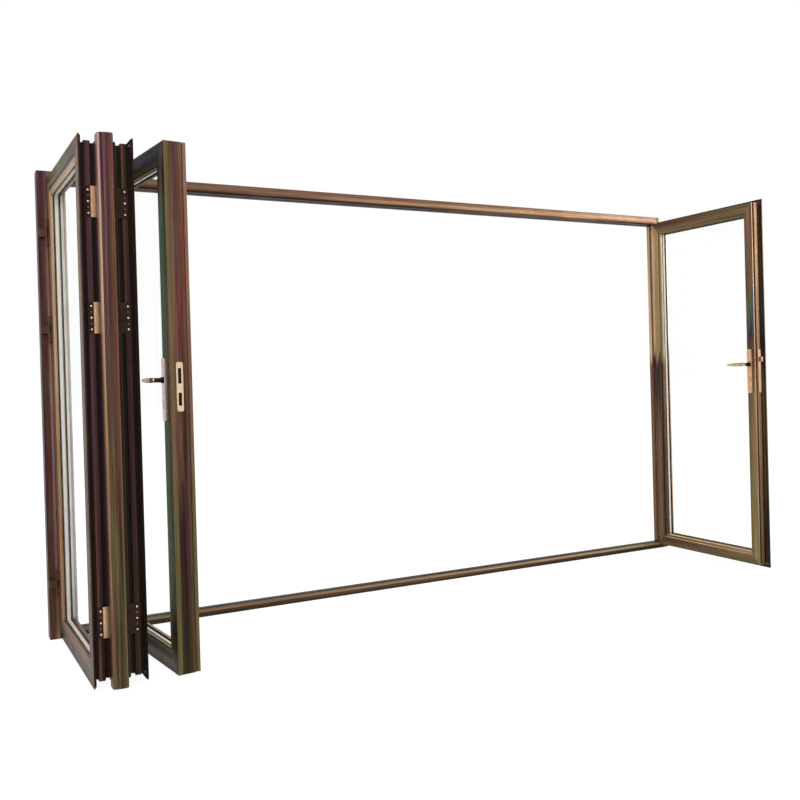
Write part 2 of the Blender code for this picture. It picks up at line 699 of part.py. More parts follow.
def build_bottom_guide(pin, leaf_two, leaf_three):
    """Guide that keeps the foot of the folded leaves in the groove of the sill."""
    name = "bottom_guide"
    bottom = LEAF_BOTTOM + ARM_HEIGHT
    meshes = track_flaps(name, (bottom, LEAF_BOTTOM + CARRIER_KNUCKLE), leaf_two, leaf_three)
    meshes.append(carrier_arm(name, pin, LEAF_BOTTOM - SEAT, bottom + ARM_WIDTH / 2))
    foot = (pin.x, 0, SILL_HEIGHT - GROOVE_DEPTH + SEAT)
    meshes.append(bar_mesh(f"{name}_stem", STEM_RADIUS, (pin.x, 0, bottom - ARM_HEIGHT / 2), foot))
    union(name, meshes, SILVER)


def build_strip(leaf):
    """Cover strip on the free edge of the third leaf: a block, a notch and a flange on the room side."""
    inner = LEAF_WIDTH + RIDGE_HEIGHT + SEAT
    front = LIP_THICKNESS + SEAT
    flange_face = BLOCK_FACE - FLANGE_SETBACK
    flange_inner = flange_face - FLANGE_THICKNESS
    notch = flange_face - STRIP_NOTCH
    notch_end = BLOCK_BACK + STRIP_NOTCH
    flange_end = BLOCK_BACK + FLANGE_REACH
    outline = [(inner, front), (BLOCK_FACE, front), (BLOCK_FACE, BLOCK_BACK), (notch, BLOCK_BACK),
               (notch, notch_end), (flange_face, notch_end), (flange_face, flange_end),
               (flange_inner, flange_end), (flange_inner, BLOCK_BACK), (inner, BLOCK_BACK)]
    low = LEAF_BOTTOM - LIP_WIDTH
    strip = outline_mesh("leaf_3_cover_strip", outline, LEAF_TOP + LIP_WIDTH - low)
    strip.transform(Matrix.Translation((0, 0, low)))
    return leaf.place("leaf_3_cover_strip", strip, BRONZE)


def cylinder_outline():
    """Outline of the key cylinder, as (across, up) points: a round barrel over a narrow tongue."""
    tongue = CYLINDER_TONGUE / 2
    foot = CYLINDER_LEVEL + CYLINDER_RADIUS - CYLINDER_HEIGHT + tongue
    shoulder = math.asin(tongue / CYLINDER_RADIUS)
    points = []
    for step in range(CYLINDER_SIDES + 1):
        angle = shoulder - math.pi / 2 + (2 * math.pi - 2 * shoulder) * step / CYLINDER_SIDES
        points.append((CYLINDER_RADIUS * math.cos(angle), CYLINDER_LEVEL + CYLINDER_RADIUS * math.sin(angle)))
    for step in range(CORNER_STEPS + 1):
        angle = math.pi * (1 + step / CORNER_STEPS)
        points.append((tongue * math.cos(angle), foot + tongue * math.sin(angle)))
    return points


def bevel_front(mesh, thickness, width):
    """Bevel the edge round the front face of a plate that lies flat."""

    def soften(shape):
        rim = [edge for edge in shape.edges if min(vert.co.z for vert in edge.verts) > thickness - SEAT
               and edge.calc_face_angle() > SMOOTH_ANGLE]
        bmesh.ops.bevel(shape, geom=rim, offset=width, segments=2, profile=0.5, affect="EDGES")

    return edit(mesh, soften)


def build_backplate(leaf, spindle, face, outwards, tag):
    """Backplate with its key cylinder on one face of a leaf."""
    name = f"{tag}_backplate"
    outline = plate_outline(PLATE_WIDTH, PLATE_HEIGHT, PLATE_LEVEL, PLATE_CORNER)
    plate = bevel_front(outline_mesh(name, outline, PLATE_THICKNESS), PLATE_THICKNESS, PLATE_EDGE)
    top = PLATE_THICKNESS + CYLINDER_PROUD
    cylinder = outline_mesh(f"{name}_cylinder", cylinder_outline(), top - PLATE_THICKNESS / 2)
    cylinder.transform(Matrix.Translation((0, 0, PLATE_THICKNESS / 2)))
    keyway = box_mesh(f"{name}_keyway",
                      (-KEYWAY_WIDTH / 2, CYLINDER_LEVEL - KEYWAY_HEIGHT / 2, top - KEYWAY_DEPTH),
                      (KEYWAY_WIDTH / 2, CYLINDER_LEVEL + KEYWAY_HEIGHT / 2, top + KEYWAY_DEPTH))
    stand = Matrix(((-outwards, 0, 0, spindle), (0, 0, outwards, face + outwards * SEAT), (0, 1, 0, 0),
                    (0, 0, 0, 1)))
    for mesh in (plate, cylinder, keyway):
        mesh.transform(stand)
    combine(leaf.union(name, [plate, cylinder], SILVER), keyway, "DIFFERENCE")


def lever_stations(direction, outwards):
    """Stations along a lever from its neck to its tip: centre, heading and share of the full section."""
    root = PLATE_THICKNESS + COLLAR_THICKNESS / 2
    reach = PLATE_THICKNESS + LEVER_PROJECTION
    stations = [(0.0, root, math.pi / 2, NECK_SHARE)]
    for step in range(BEND_STEPS + 1):
        angle = math.pi / 2 * (1 - step / BEND_STEPS)
        share = NECK_SHARE + (1 - NECK_SHARE) * step / BEND_STEPS
        stations.append((LEVER_BEND - LEVER_BEND * math.sin(angle),
                         reach - LEVER_BEND + LEVER_BEND * math.cos(angle), angle, share))
    for step in range(1, GRIP_STEPS + 1):
        along = step / GRIP_STEPS
        share = math.sqrt(1 - (1 - TIP_SHARE ** 2) * along ** 2)
        stations.append((LEVER_BEND + (LEVER_LENGTH - LEVER_BEND) * along, reach, 0.0, share))
    return [(Vector((direction * x, outwards * y, 0)),
             Vector((direction * math.cos(angle), outwards * math.sin(angle), 0)), share)
            for x, y, angle, share in stations]


def lever_mesh(name, direction, outwards):
    """Mesh of a flat lever that bends out of its neck and tapers to its tip."""
    shape = bmesh.new()
    stations = lever_stations(direction, outwards)
    rings = []
    for index, (centre, heading, share) in enumerate(stations):
        side = Vector((0, 0, 1)).cross(heading) * LEVER_HALF_DEPTH * share
        rise = Vector((0, 0, LEVER_HALF_HEIGHT * share))
        frame = Matrix((side, rise, heading)).transposed().to_4x4()
        ring = bmesh.ops.create_circle(shape, cap_ends=index in (0, len(stations) - 1), segments=LEVER_SIDES,
                                       radius=1.0, matrix=Matrix.Translation(centre) @ frame)
        rings.append({edge for vert in ring["verts"] for edge in vert.link_edges})
    for first, second in zip(rings, rings[1:]):
        bmesh.ops.bridge_loops(shape, edges=list(first | second))
    bmesh.ops.recalc_face_normals(shape, faces=shape.faces)
    mesh = bpy.data.meshes.new(name)
    shape.to_mesh(mesh)
    shape.free()
    return mesh


def build_lever(leaf, spindle, direction, face, outwards, tag):
    """Lever with its collar, which hangs from an empty on its spindle."""
    empty = bpy.data.objects.new(f"{tag}_spindle", None)
    PARTS.objects.link(empty)
    empty.parent = leaf.empty
    empty.location = Vector((spindle, face, LEVER_LEVEL)) - leaf.pin_local
    seat = outwards * (PLATE_THICKNESS + 2 * SEAT)
    rim = seat + outwards * COLLAR_THICKNESS
    collar = bar_mesh(f"{tag}_collar", COLLAR_RADIUS, (0, seat, 0), (0, rim, 0))
    union(f"{tag}_lever", [collar, lever_mesh(f"{tag}_grip", direction, outwards)], SILVER, empty)


def build_lock(leaf_three, leaf_four, strip):
    """Keep plate on the third leaf's cover strip, and the access leaf's faceplate with its latch."""
    pocket = BLOCK_FACE - KEEP_POCKET
    seat = BLOCK_FACE + SEAT
    outline = plate_outline(KEEP_WIDTH, KEEP_HEIGHT, KEEP_LEVEL, PLATE_CORNER)
    plate = outline_mesh("keep_plate", outline, KEEP_THICKNESS)
    plate.transform(Matrix(((0, 0, 1, seat), (1, 0, 0, KEEP_CENTRE), (0, 1, 0, 0), (0, 0, 0, 1))))
    keep = leaf_three.place("keep_plate", plate, SILVER)
    half = KEEP_SLOT_WIDTH / 2
    for index, (shift, height) in enumerate(KEEP_SLOTS, start=1):
        low = KEEP_LEVEL + shift - height / 2
        for piece, name in ((keep, "keep_slot"), (strip, "keep_pocket")):
            cut = box_mesh(f"{name}_{index}", (pocket, KEEP_CENTRE - half, low),
                           (seat + 2 * KEEP_THICKNESS, KEEP_CENTRE + half, low + height))
            combine(piece, cut, "DIFFERENCE")
    outline = plate_outline(RIDGE_WIDTH - 2 * RIDGE_CHAMFER, FACEPLATE_HEIGHT, PLATE_LEVEL, PLATE_CORNER)
    face = outline_mesh("lock_faceplate", outline, KEEP_THICKNESS)
    turn = Matrix(((0, 0, 1, -RIDGE_HEIGHT - SEAT - KEEP_THICKNESS), (1, 0, 0, RIDGE_CENTRE), (0, 1, 0, 0),
                   (0, 0, 0, 1)))
    face.transform(turn)
    edge = -RIDGE_HEIGHT - SEAT - KEEP_THICKNESS / 2
    latch = box_mesh("latch", (edge, RIDGE_CENTRE - LATCH_WIDTH / 2, LATCH_LEVEL - LATCH_HEIGHT / 2),
                     (edge - LATCH_THROW, RIDGE_CENTRE + LATCH_WIDTH / 2, LATCH_LEVEL + LATCH_HEIGHT / 2))
    leaf_four.union("lock_faceplate", [face, latch], SILVER)


def build():
    """Build the whole door."""
    build_frame()
    pin_left = Vector((-HALF_WIDTH + JAMB_PIN_INSET, PIN_LINE))
    pin_right = Vector((HALF_WIDTH - JAMB_PIN_INSET, PIN_LINE))
    leaf_one = Leaf(1, pin_left, (-JAMB_OFFSET, -PIN_PROUD), -LEAF_ONE_ANGLE)
    first = turned((LEAF_WIDTH + FOLD_PIN_U + JAMB_OFFSET, FOLD_PIN_V + PIN_PROUD), -LEAF_ONE_ANGLE)
    fold_left = pin_left + first
    fold_right = fold_left + Vector((POST_WIDTH, 0))

    reach = Vector((LEAF_WIDTH + FOLD_PIN_U + TRACK_PIN_OFFSET, -(FOLD_PIN_V + PIN_PROUD)))
    rise = PIN_LINE - fold_right.y
    leaf_two_angle = math.degrees(math.asin(rise / reach.length) - math.atan2(reach.y, reach.x))
    leaf_two = Leaf(2, fold_right, (-FOLD_PIN_U, FOLD_PIN_V), leaf_two_angle)
    pin_track = fold_right + turned(reach, leaf_two_angle)
    leaf_three = Leaf(3, pin_track, (TRACK_PIN_OFFSET - BODY_GAP, -PIN_PROUD), -LEAF_THREE_ANGLE)
    leaf_four = Leaf(4, pin_right, (LEAF_WIDTH + JAMB_OFFSET, -PIN_PROUD), ACCESS_ANGLE)

    for leaf in (leaf_one, leaf_two, leaf_three, leaf_four):
        build_leaf(leaf)
    build_jamb_hinges(leaf_one, leaf_four)
    build_track_hinges(leaf_two, leaf_three)
    build_post((fold_left + fold_right) / 2)
    build_fold_hinges(leaf_one, leaf_two, fold_left, fold_right)
    build_top_carrier(pin_track, leaf_two, leaf_three)
    build_bottom_guide(pin_track, leaf_two, leaf_three)
    build_lock(leaf_three, leaf_four, build_strip(leaf_three))

    spindle = LEAF_WIDTH - SPINDLE_INSET
    build_backplate(leaf_three, spindle, 0, -1, "leaf_3_outside")
    build_lever(leaf_three, spindle, -1, 0, -1, "leaf_3_outside")
    build_backplate(leaf_four, SPINDLE_INSET, 0, -1, "leaf_4_outside")
    build_backplate(leaf_four, SPINDLE_INSET, LEAF_DEPTH, 1, "leaf_4_inside")
    build_lever(leaf_four, SPINDLE_INSET, 1, LEAF_DEPTH, 1, "leaf_4_inside")


clear_scene()
PARTS = make_collection(COLLECTION_NAME)
CUTTERS = make_collection(CUTTER_COLLECTION_NAME)
build()
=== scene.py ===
"""Looks of the bifold glass patio door: anodised bars, sealed glass, seals, thermal breaks and screws.

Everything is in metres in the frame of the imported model: X along the track, -Y towards the outside
of the building, +Z up, the origin under the middle of the sill. A leaf has its own frame as well:
u across it, v from its outside face to the room side, z up.
"""

import logging
import math
from dataclasses import dataclass, field, replace
from enum import Enum

import bmesh
import bpy
from mathutils import Matrix, Vector


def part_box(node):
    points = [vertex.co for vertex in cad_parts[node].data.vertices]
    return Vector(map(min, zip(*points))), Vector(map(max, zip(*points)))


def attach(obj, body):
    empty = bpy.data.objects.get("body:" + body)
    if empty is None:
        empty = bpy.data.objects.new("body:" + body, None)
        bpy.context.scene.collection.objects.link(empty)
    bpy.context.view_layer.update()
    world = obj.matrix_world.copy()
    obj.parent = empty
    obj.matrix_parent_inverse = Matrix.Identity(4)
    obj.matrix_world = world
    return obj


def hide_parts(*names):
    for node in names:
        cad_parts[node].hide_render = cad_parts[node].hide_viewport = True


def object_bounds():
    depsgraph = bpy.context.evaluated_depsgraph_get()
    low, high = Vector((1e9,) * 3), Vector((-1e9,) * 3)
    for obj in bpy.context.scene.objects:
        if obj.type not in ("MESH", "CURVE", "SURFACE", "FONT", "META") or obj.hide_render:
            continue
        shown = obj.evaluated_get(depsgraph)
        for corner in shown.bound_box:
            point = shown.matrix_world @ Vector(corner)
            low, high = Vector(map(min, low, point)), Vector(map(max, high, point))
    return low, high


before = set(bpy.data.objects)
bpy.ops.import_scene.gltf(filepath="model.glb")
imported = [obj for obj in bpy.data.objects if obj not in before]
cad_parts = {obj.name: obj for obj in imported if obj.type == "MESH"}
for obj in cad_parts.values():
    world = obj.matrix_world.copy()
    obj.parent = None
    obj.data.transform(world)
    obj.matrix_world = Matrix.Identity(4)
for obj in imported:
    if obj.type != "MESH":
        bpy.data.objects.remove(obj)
CAD_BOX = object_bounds()

LOG = logging.getLogger("bifold_patio_door")

Colour = tuple[float, float, float]
Point2 = tuple[float, float]


def tint(code: int) -> Colour:
    """Linear colour of a tint that is written as a screen colour, 0xRRGGBB."""
    parts = [(code >> shift & 0xFF) / 255 for shift in (16, 8, 0)]
    return tuple(part / 12.92 if part <= 0.04045 else ((part + 0.055) / 1.055) ** 2.4 for part in parts)


# Tints for the bronze bars, from near black to the pale ones of the inner faces; laid in strips they are painted
# reflections, painted highlights and painted shade, and GLARE is painted glare
INK = tint(0x1A110E)
SOOT = tint(0x291A15)
NIGHT = tint(0x36241D)
LODEN = tint(0x3C3220)
MULBERRY = tint(0x48282C)
PLUM = tint(0x5A3A42)
VIOLET = tint(0x33224A)
WINE = tint(0x6B3E3A)
MAROON = tint(0x66402F)
UMBER = tint(0x5A4230)
BARK = tint(0x7A5B42)
CLAY = tint(0x8E6650)
DUSK = tint(0x565A7C)
OLIVE = tint(0x6A6038)
MOSS = tint(0x3E6844)
BRASS = tint(0x9C8757)
ROSE = tint(0xA27C72)
BLUSH = tint(0xC89E92)
COPPER = tint(0xAE855C)
TAN = tint(0xD4AE84)
CREAM = tint(0xEDD6B2)
GLARE = tint(0xFFF8EC)


class Run(Enum):
    """Which way a bar's drawn grain runs."""

    UPRIGHT = "upright"
    LEVEL = "level"


class Side(Enum):
    """The sides of a leaf."""

    BOTTOM = 0
    RIGHT = 1
    TOP = 2
    LEFT = 3


@dataclass(frozen=True)
class SectionSizes:
    """Sizes of the leaf section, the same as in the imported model."""

    depth: float = 0.065
    face: float = 0.046
    lip_width: float = 0.027
    lip_thickness: float = 0.005
    ridge_centre: float = 0.033
    upstand_height: float = 0.016
    upstand_thickness: float = 0.014
    glass_thickness: float = 0.024
    seat: float = 0.0003

    @property
    def glass_front(self) -> float:
        """Depth of the outer face of the sealed unit."""
        return self.upstand_thickness + self.seat

    @property
    def glass_back(self) -> float:
        """Depth of the room-side face of the sealed unit."""
        return self.glass_front + self.glass_thickness

    @property
    def sight(self) -> float:
        """Distance from the body's edge to the sight line of the glass."""
        return self.face + self.upstand_height


SECTION = SectionSizes()


class Graph:
    """A node tree with short calls for adding and joining nodes."""

    def __init__(self, tree: bpy.types.NodeTree) -> None:
        """Start from an empty shader or geometry tree."""
        self.tree = tree
        self.tree.nodes.clear()

    def add(self, kind: str, inputs: dict | None = None, **settings) -> bpy.types.Node:
        """Add a node.

        Args:
            kind: the node's type name.
            inputs: values or output sockets for its inputs, by name or index.
            **settings: properties of the node.

        Returns:
            The new node.
        """
        node = self.tree.nodes.new(kind)
        for name, value in settings.items():
            setattr(node, name, value)
        for name, value in (inputs or {}).items():
            self.put(node.inputs[name], value)
        return node

    def put(self, socket: bpy.types.NodeSocket, value) -> None:
        """Give an input a value, or join an output to it.

        Args:
            socket: the input.
            value: a plain value or an output socket.
        """
        if isinstance(value, bpy.types.NodeSocket):
            self.tree.links.new(value, socket)
        elif isinstance(value, tuple) and len(value) == 3 and socket.type == "RGBA":
            socket.default_value = (*value, 1.0)
        else:
            socket.default_value = value

    def maths(self, operation: str, first, second=0.0) -> bpy.types.NodeSocket:
        """Output of a Math node on two values or sockets."""
        return self.add("ShaderNodeMath", {0: first, 1: second}, operation=operation).outputs[0]

    def spread(self, value, low: float, high: float, to_low: float = 0.0,
               to_high: float = 1.0) -> bpy.types.NodeSocket:
        """Value mapped from low and high to to_low and to_high, smoothly and clamped."""
        node = self.add("ShaderNodeMapRange", {0: value, 1: low, 2: high, 3: to_low, 4: to_high},
                        interpolation_type="SMOOTHSTEP")
        return node.outputs[0]

    def mix(self, share, first, second, blend: str = "MIX") -> bpy.types.NodeSocket:
        """Mix two colours.

        Args:
            share: how much of the second one shows.
            first: first colour.
            second: second colour.
            blend: the blend type.

        Returns:
            The mixed colour.
        """
        node = self.add("ShaderNodeMix", data_type="RGBA", blend_type=blend)
        self.put(node.inputs[0], share)
        self.put(node.inputs[6], first)
        self.put(node.inputs[7], second)
        return node.outputs[2]

    def noise(self, place, scale: float, detail: float = 3.0,
              roughness: float = 0.55) -> bpy.types.NodeSocket:
        """Value of a noise texture at some coordinates, about 0 to 1."""
        node = self.add("ShaderNodeTexNoise", {"Vector": place, "Scale": scale, "Detail": detail,
                                               "Roughness": roughness})
        return node.outputs[0]

    def ramp(self, value, stops: list[tuple[float, Colour]]) -> bpy.types.NodeSocket:
        """Add a colour ramp.

        Args:
            value: what drives it.
            stops: (place, colour) pairs, in order.

        Returns:
            The ramp's colour.
        """
        node = self.add("ShaderNodeValToRGB", {0: value})
        elements = node.color_ramp.elements
        for element in list(elements)[1:]:
            elements.remove(element)
        elements[0].position, elements[0].color = stops[0][0], (*stops[0][1], 1.0)
        for place, colour in stops[1:]:
            elements.new(place).color = (*colour, 1.0)
        return node.outputs[0]

    def split(self, vector) -> bpy.types.bpy_prop_collection:
        """The three parts of a vector."""
        return self.add("ShaderNodeSeparateXYZ", {0: vector}).outputs


@dataclass(frozen=True)
class Strips:
    """Tints side by side across a face, in rows at levels from the run's low end to its high end: painted
    reflections, painted highlights and painted shade.
    """

    rows: tuple[tuple[Colour, ...], ...]
    levels: tuple[float, ...]
    softness: float = 0.8

    def band(self, graph: Graph, across, row: tuple[Colour, ...]) -> bpy.types.NodeSocket:
        """One row of tints with soft joins.

        Args:
            graph: the material's tree.
            across: place across the face, 0 to 1.
            row: the tints in order.

        Returns:
            The row's colour.
        """
        half = self.softness / 2
        stops = [((number + edge) / len(row), one) for number, one in enumerate(row)
                 for edge in (half, 1 - half)]
        return graph.ramp(across, stops)

    def colour(self, graph: Graph, across, along) -> bpy.types.NodeSocket:
        """The tint at a place on the face.

        Args:
            graph: the material's tree.
            across: place across the face, 0 to 1.
            along: place along the run, 0 to 1.

        Returns:
            The colour.
        """
        shown = self.band(graph, across, self.rows[0])
        for row, start, end in zip(self.rows[1:], self.levels, self.levels[1:]):
            shown = graph.mix(graph.spread(along, start, end), shown, self.band(graph, across, row))
        return shown


def strips(*rows: tuple[Colour, ...], levels: tuple[float, ...] = ()) -> Strips:
    """Strips from rows of tints, at the given levels or else evenly spaced from 0 to 1."""
    steps = max(len(rows) - 1, 1)
    return Strips(rows, levels or tuple(number / steps for number in range(len(rows))))


@dataclass(frozen=True)
class Finish:
    """A finish: its name, its record slot, its pattern's frame and the material that it builds once."""

    name: str = "finish"
    slot: str = "bronze_aluminium"
    origin: Colour = (0.0, 0.0, 0.0)
    turn: float = 0.0

    def material(self) -> bpy.types.Material:
        """Build the material, or return the one built before.

        Returns:
            The material.
        """
        found = bpy.data.materials.get(self.name)
        if found:
            return found
        made = bpy.data.materials.new(self.name)
        made.use_nodes = True
        graph = Graph(made.node_tree)
        output = graph.add("ShaderNodeOutputMaterial")
        graph.put(output.inputs["Surface"], self.surface(graph))
        return made

    def surface(self, graph: Graph) -> bpy.types.NodeSocket:
        """Build the shader and give its output."""
        return graph.add("ShaderNodeBsdfPrincipled").outputs[0]

    def place(self, graph: Graph, scale: Colour = (1.0, 1.0, 1.0)) -> bpy.types.NodeSocket:
        """Object coordinates in the pattern's own frame.

        Args:
            graph: the material's tree.
            scale: scale along each axis of that frame.

        Returns:
            The coordinates.
        """
        source = graph.add("ShaderNodeTexCoord").outputs["Object"]
        own = graph.add("ShaderNodeMapping", {"Vector": source, "Location": self.origin,
                                              "Rotation": (0.0, 0.0, self.turn)}, vector_type="TEXTURE")
        if scale == (1.0, 1.0, 1.0):
            return own.outputs[0]
        return graph.add("ShaderNodeMapping", {"Vector": own.outputs[0], "Scale": scale}).outputs[0]

    def facing(self, graph: Graph) -> bpy.types.NodeSocket:
        """The surface's direction in the pattern's own frame."""
        source = graph.add("ShaderNodeTexCoord").outputs["Normal"]
        return graph.add("ShaderNodeVectorRotate", {"Vector": source, "Angle": -self.turn},
                         rotation_type="Z_AXIS").outputs[0]


@dataclass(frozen=True)
class AnodisedBronze(Finish):
    """Dark bronze anodising on drawn aluminium, with painted reflections and painted shade in long strips, fine
    die lines, rubbed edges.
    """

    outside: Strips = strips((UMBER, BARK))
    room: Strips = strips((UMBER, BARK))
    before: Strips = strips((BARK, UMBER))
    after: Strips = strips((BARK, UMBER))
    run: Run = Run.UPRIGHT
    across: Point2 = (-0.027, 0.062)
    depth: Point2 = (0.0, 0.065)
    along: Point2 = (0.018, 2.064)
    roughness: float = 0.36
    metallic: float = 0.55
    edge_shine: float = 0.35
    face_limit: float = 0.6
    seed: float = 0.0

    def streaks(self, graph: Graph, across: float, along: float) -> bpy.types.NodeSocket:
        """Coordinates squeezed along the bar, so that a pattern runs in streaks.

        Args:
            graph: the material's tree.
            across: scale across the bar.
            along: scale along it.

        Returns:
            The coordinates.
        """
        scale = (across, across, along) if self.run is Run.UPRIGHT else (along, across, across)
        shift = graph.add("ShaderNodeVectorMath", {0: self.place(graph, scale), 1: (self.seed,) * 3})
        return shift.outputs[0]

    def tints(self, graph: Graph) -> bpy.types.NodeSocket:
        """The painted reflections and painted shade: strips for each way a face looks, with a little wander in
        their borders.

        Args:
            graph: the material's tree.

        Returns:
            The colour before wear.
        """
        u, v, z = graph.split(self.place(graph))
        over, run = (u, z) if self.run is Run.UPRIGHT else (z, u)
        wander = graph.maths("SUBTRACT", graph.noise(self.streaks(graph, 120.0, 3.0), 1.0, 2.0), 0.5)
        drift = graph.maths("SUBTRACT", graph.noise(self.streaks(graph, 25.0, 2.5), 1.0, 2.0), 0.5)

        def share(value, limits: Point2, sway, reach: float) -> bpy.types.NodeSocket:
            """Place within limits, 0 to 1, with some sway."""
            moved = graph.maths("ADD", value, graph.maths("MULTIPLY", sway, reach))
            node = graph.add("ShaderNodeMapRange", {0: moved, 1: limits[0], 2: limits[1]})
            return node.outputs[0]

        wide = share(over, self.across, wander, 0.012)
        deep = share(v, self.depth, wander, 0.010)
        long = share(run, self.along, drift, 0.5)
        # Each way a face looks gets its own strips, so lit and shaded sides are painted as different tints.
        nu, nv, nz = graph.split(self.facing(graph))
        edge = nu if self.run is Run.UPRIGHT else nz
        colour = self.outside.colour(graph, wide, long)
        back = graph.maths("MULTIPLY", edge, -1.0)
        for mask, face, place in ((nv, self.room, wide), (back, self.before, deep),
                                  (edge, self.after, deep)):
            shown = graph.maths("GREATER_THAN", mask, self.face_limit)
            colour = graph.mix(shown, colour, face.colour(graph, place, long))
        return colour

    def edges(self, graph: Graph) -> bpy.types.NodeSocket:
        """Mask of the sharp edges, where anodising rubs thin.

        Args:
            graph: the material's tree.

        Returns:
            0 on flat faces to 1 at an edge.
        """
        rounded = graph.add("ShaderNodeBevel", {"Radius": 0.0012}, samples=4)
        flat = graph.add("ShaderNodeNewGeometry").outputs["Normal"]
        product = graph.add("ShaderNodeVectorMath", {0: rounded.outputs[0], 1: flat}, operation="DOT_PRODUCT")
        return graph.spread(product.outputs["Value"], 0.99, 0.85)

    def surface(self, graph: Graph) -> bpy.types.NodeSocket:
        """Build the anodised shader.

        Args:
            graph: the material's tree.

        Returns:
            The shader's output.
        """
        colour = self.tints(graph)
        streak = graph.noise(self.streaks(graph, 260.0, 2.0), 1.0, 3.0, 0.6)
        hue = graph.noise(self.streaks(graph, 150.0, 5.0), 1.0, 2.0)
        varied = graph.add("ShaderNodeHueSaturation", {
            "Hue": graph.spread(hue, 0.3, 0.7, 0.48, 0.52),
            "Saturation": graph.spread(hue, 0.3, 0.7, 1.05, 0.80),
            "Value": graph.spread(streak, 0.28, 0.72, 0.78, 1.28), "Color": colour})
        lines = graph.noise(self.streaks(graph, 1500.0, 6.0), 1.0, 3.0, 0.6)
        colour = graph.mix(graph.spread(lines, 0.35, 0.8, 0.0, 0.30), varied.outputs[0], INK)
        cloud = graph.noise(self.place(graph), 9.0, 4.0, 0.6)
        marks = graph.noise(self.place(graph), 160.0, 4.0, 0.7)
        rubbed = graph.maths("MULTIPLY", self.edges(graph), graph.spread(marks, 0.42, 0.62, 0.1, 0.6))
        colour = graph.mix(rubbed, colour, CLAY)
        clouded = graph.spread(cloud, 0.3, 0.7, self.roughness - 0.05, self.roughness + 0.07)
        rough = graph.maths("ADD", clouded, graph.spread(lines, 0.3, 0.7, -0.03, 0.04))
        bump = graph.add("ShaderNodeBump", {"Strength": 0.10, "Distance": 0.0002, "Height": lines})
        shader = graph.add("ShaderNodeBsdfPrincipled", {
            "Base Color": colour, "Metallic": self.metallic, "Roughness": rough, "Normal": bump.outputs[0],
            "Specular IOR Level": 0.2, "Specular Tint": (self.edge_shine,) * 3})
        return shader.outputs[0]


@dataclass(frozen=True)
class SatinMetal(Finish):
    """Satin metal of the hardware, with fine brushing; beyond the zone it turns to a second tint."""

    slot: str = "champagne_hardware"
    colour: Colour = tint(0xDDB48C)
    shade: Colour = tint(0xB58A66)
    beyond: Colour = tint(0xDDB48C)
    zone: Point2 = (0.0, 0.0)
    axis: int = 0
    roughness: float = 0.28
    run: Run = Run.UPRIGHT

    def surface(self, graph: Graph) -> bpy.types.NodeSocket:
        """Build the brushed shader.

        Args:
            graph: the material's tree.

        Returns:
            The shader's output.
        """
        scale = (900.0, 900.0, 30.0) if self.run is Run.UPRIGHT else (30.0, 900.0, 900.0)
        lines = graph.noise(self.place(graph, scale), 1.0, 3.0, 0.6)
        cloud = graph.noise(self.place(graph), 45.0, 4.0, 0.65)
        worn = graph.spread(cloud, 0.35, 0.75, 0.0, 0.6)
        colour = graph.mix(worn, self.colour, self.shade)
        centre, reach = self.zone
        if reach:
            ordinate = graph.split(self.place(graph))[self.axis]
            distance = graph.maths("ABSOLUTE", graph.maths("SUBTRACT", ordinate, centre))
            outer = graph.mix(worn, self.beyond, INK)
            colour = graph.mix(graph.spread(distance, reach - 0.002, reach + 0.002), colour, outer)
        colour = graph.mix(graph.spread(lines, 0.3, 0.8, 0.0, 0.28), colour, UMBER, "MULTIPLY")
        rough = graph.spread(cloud, 0.3, 0.7, self.roughness - 0.06, self.roughness + 0.10)
        bump = graph.add("ShaderNodeBump", {"Strength": 0.12, "Distance": 0.00015, "Height": lines})
        shader = graph.add("ShaderNodeBsdfPrincipled", {
            "Base Color": colour, "Metallic": 0.9, "Roughness": rough, "Normal": bump.outputs[0]})
        return shader.outputs[0]


@dataclass(frozen=True)
class MattSeal(Finish):
    """Extruded rubber of the gaskets, or the rigid plastic of the thermal breaks."""

    colour: Colour = tint(0x2A1C17)
    dust: Colour = tint(0x4C382C)
    roughness: float = 0.62

    def surface(self, graph: Graph) -> bpy.types.NodeSocket:
        """Build the matt shader with a little dust in it.

        Args:
            graph: the material's tree.

        Returns:
            The shader's output.
        """
        cloud = graph.noise(self.place(graph), 60.0, 5.0, 0.7)
        grain = graph.noise(self.place(graph), 1500.0, 2.0, 0.5)
        colour = graph.mix(graph.spread(cloud, 0.45, 0.75, 0.0, 0.8), self.colour, self.dust)
        rough = graph.spread(cloud, 0.3, 0.7, self.roughness - 0.08, self.roughness + 0.15)
        bump = graph.add("ShaderNodeBump", {"Strength": 0.15, "Distance": 0.0001, "Height": grain})
        shader = graph.add("ShaderNodeBsdfPrincipled", {
            "Base Color": colour, "Metallic": 0.0, "Roughness": rough, "Normal": bump.outputs[0],
            "Specular IOR Level": 0.12})
        return shader.outputs[0]


@dataclass(frozen=True)
class ClearGlass(Finish):
    """Float glass: clear with a faint green cast, a soft shine and a thin film of wiping marks."""

    slot: str = "clear_glass"
    shine: float = 0.03

    def surface(self, graph: Graph) -> bpy.types.NodeSocket:
        """Build the glass shader.

        Args:
            graph: the material's tree.

        Returns:
            The shader's output.
        """
        film = graph.noise(self.place(graph), 3.0, 4.0, 0.6)
        wiped = graph.noise(self.place(graph, (40.0, 40.0, 3.0)), 1.0, 3.0, 0.6)
        rough = graph.maths("ADD", graph.spread(film, 0.45, 0.8, 0.01, 0.05),
                            graph.spread(wiped, 0.55, 0.8, 0.0, 0.03))
        gloss = graph.add("ShaderNodeBsdfGlossy", {"Color": (0.95, 0.97, 0.96), "Roughness": rough})
        clear = graph.add("ShaderNodeBsdfTransparent", {"Color": (0.997, 1.0, 0.998)})
        mirror = graph.add("ShaderNodeFresnel", {"IOR": 1.45}).outputs[0]
        share = graph.maths("MULTIPLY", mirror, self.shine)
        mixed = graph.add("ShaderNodeMixShader", {0: share, 1: clear.outputs[0], 2: gloss.outputs[0]})
        return mixed.outputs[0]


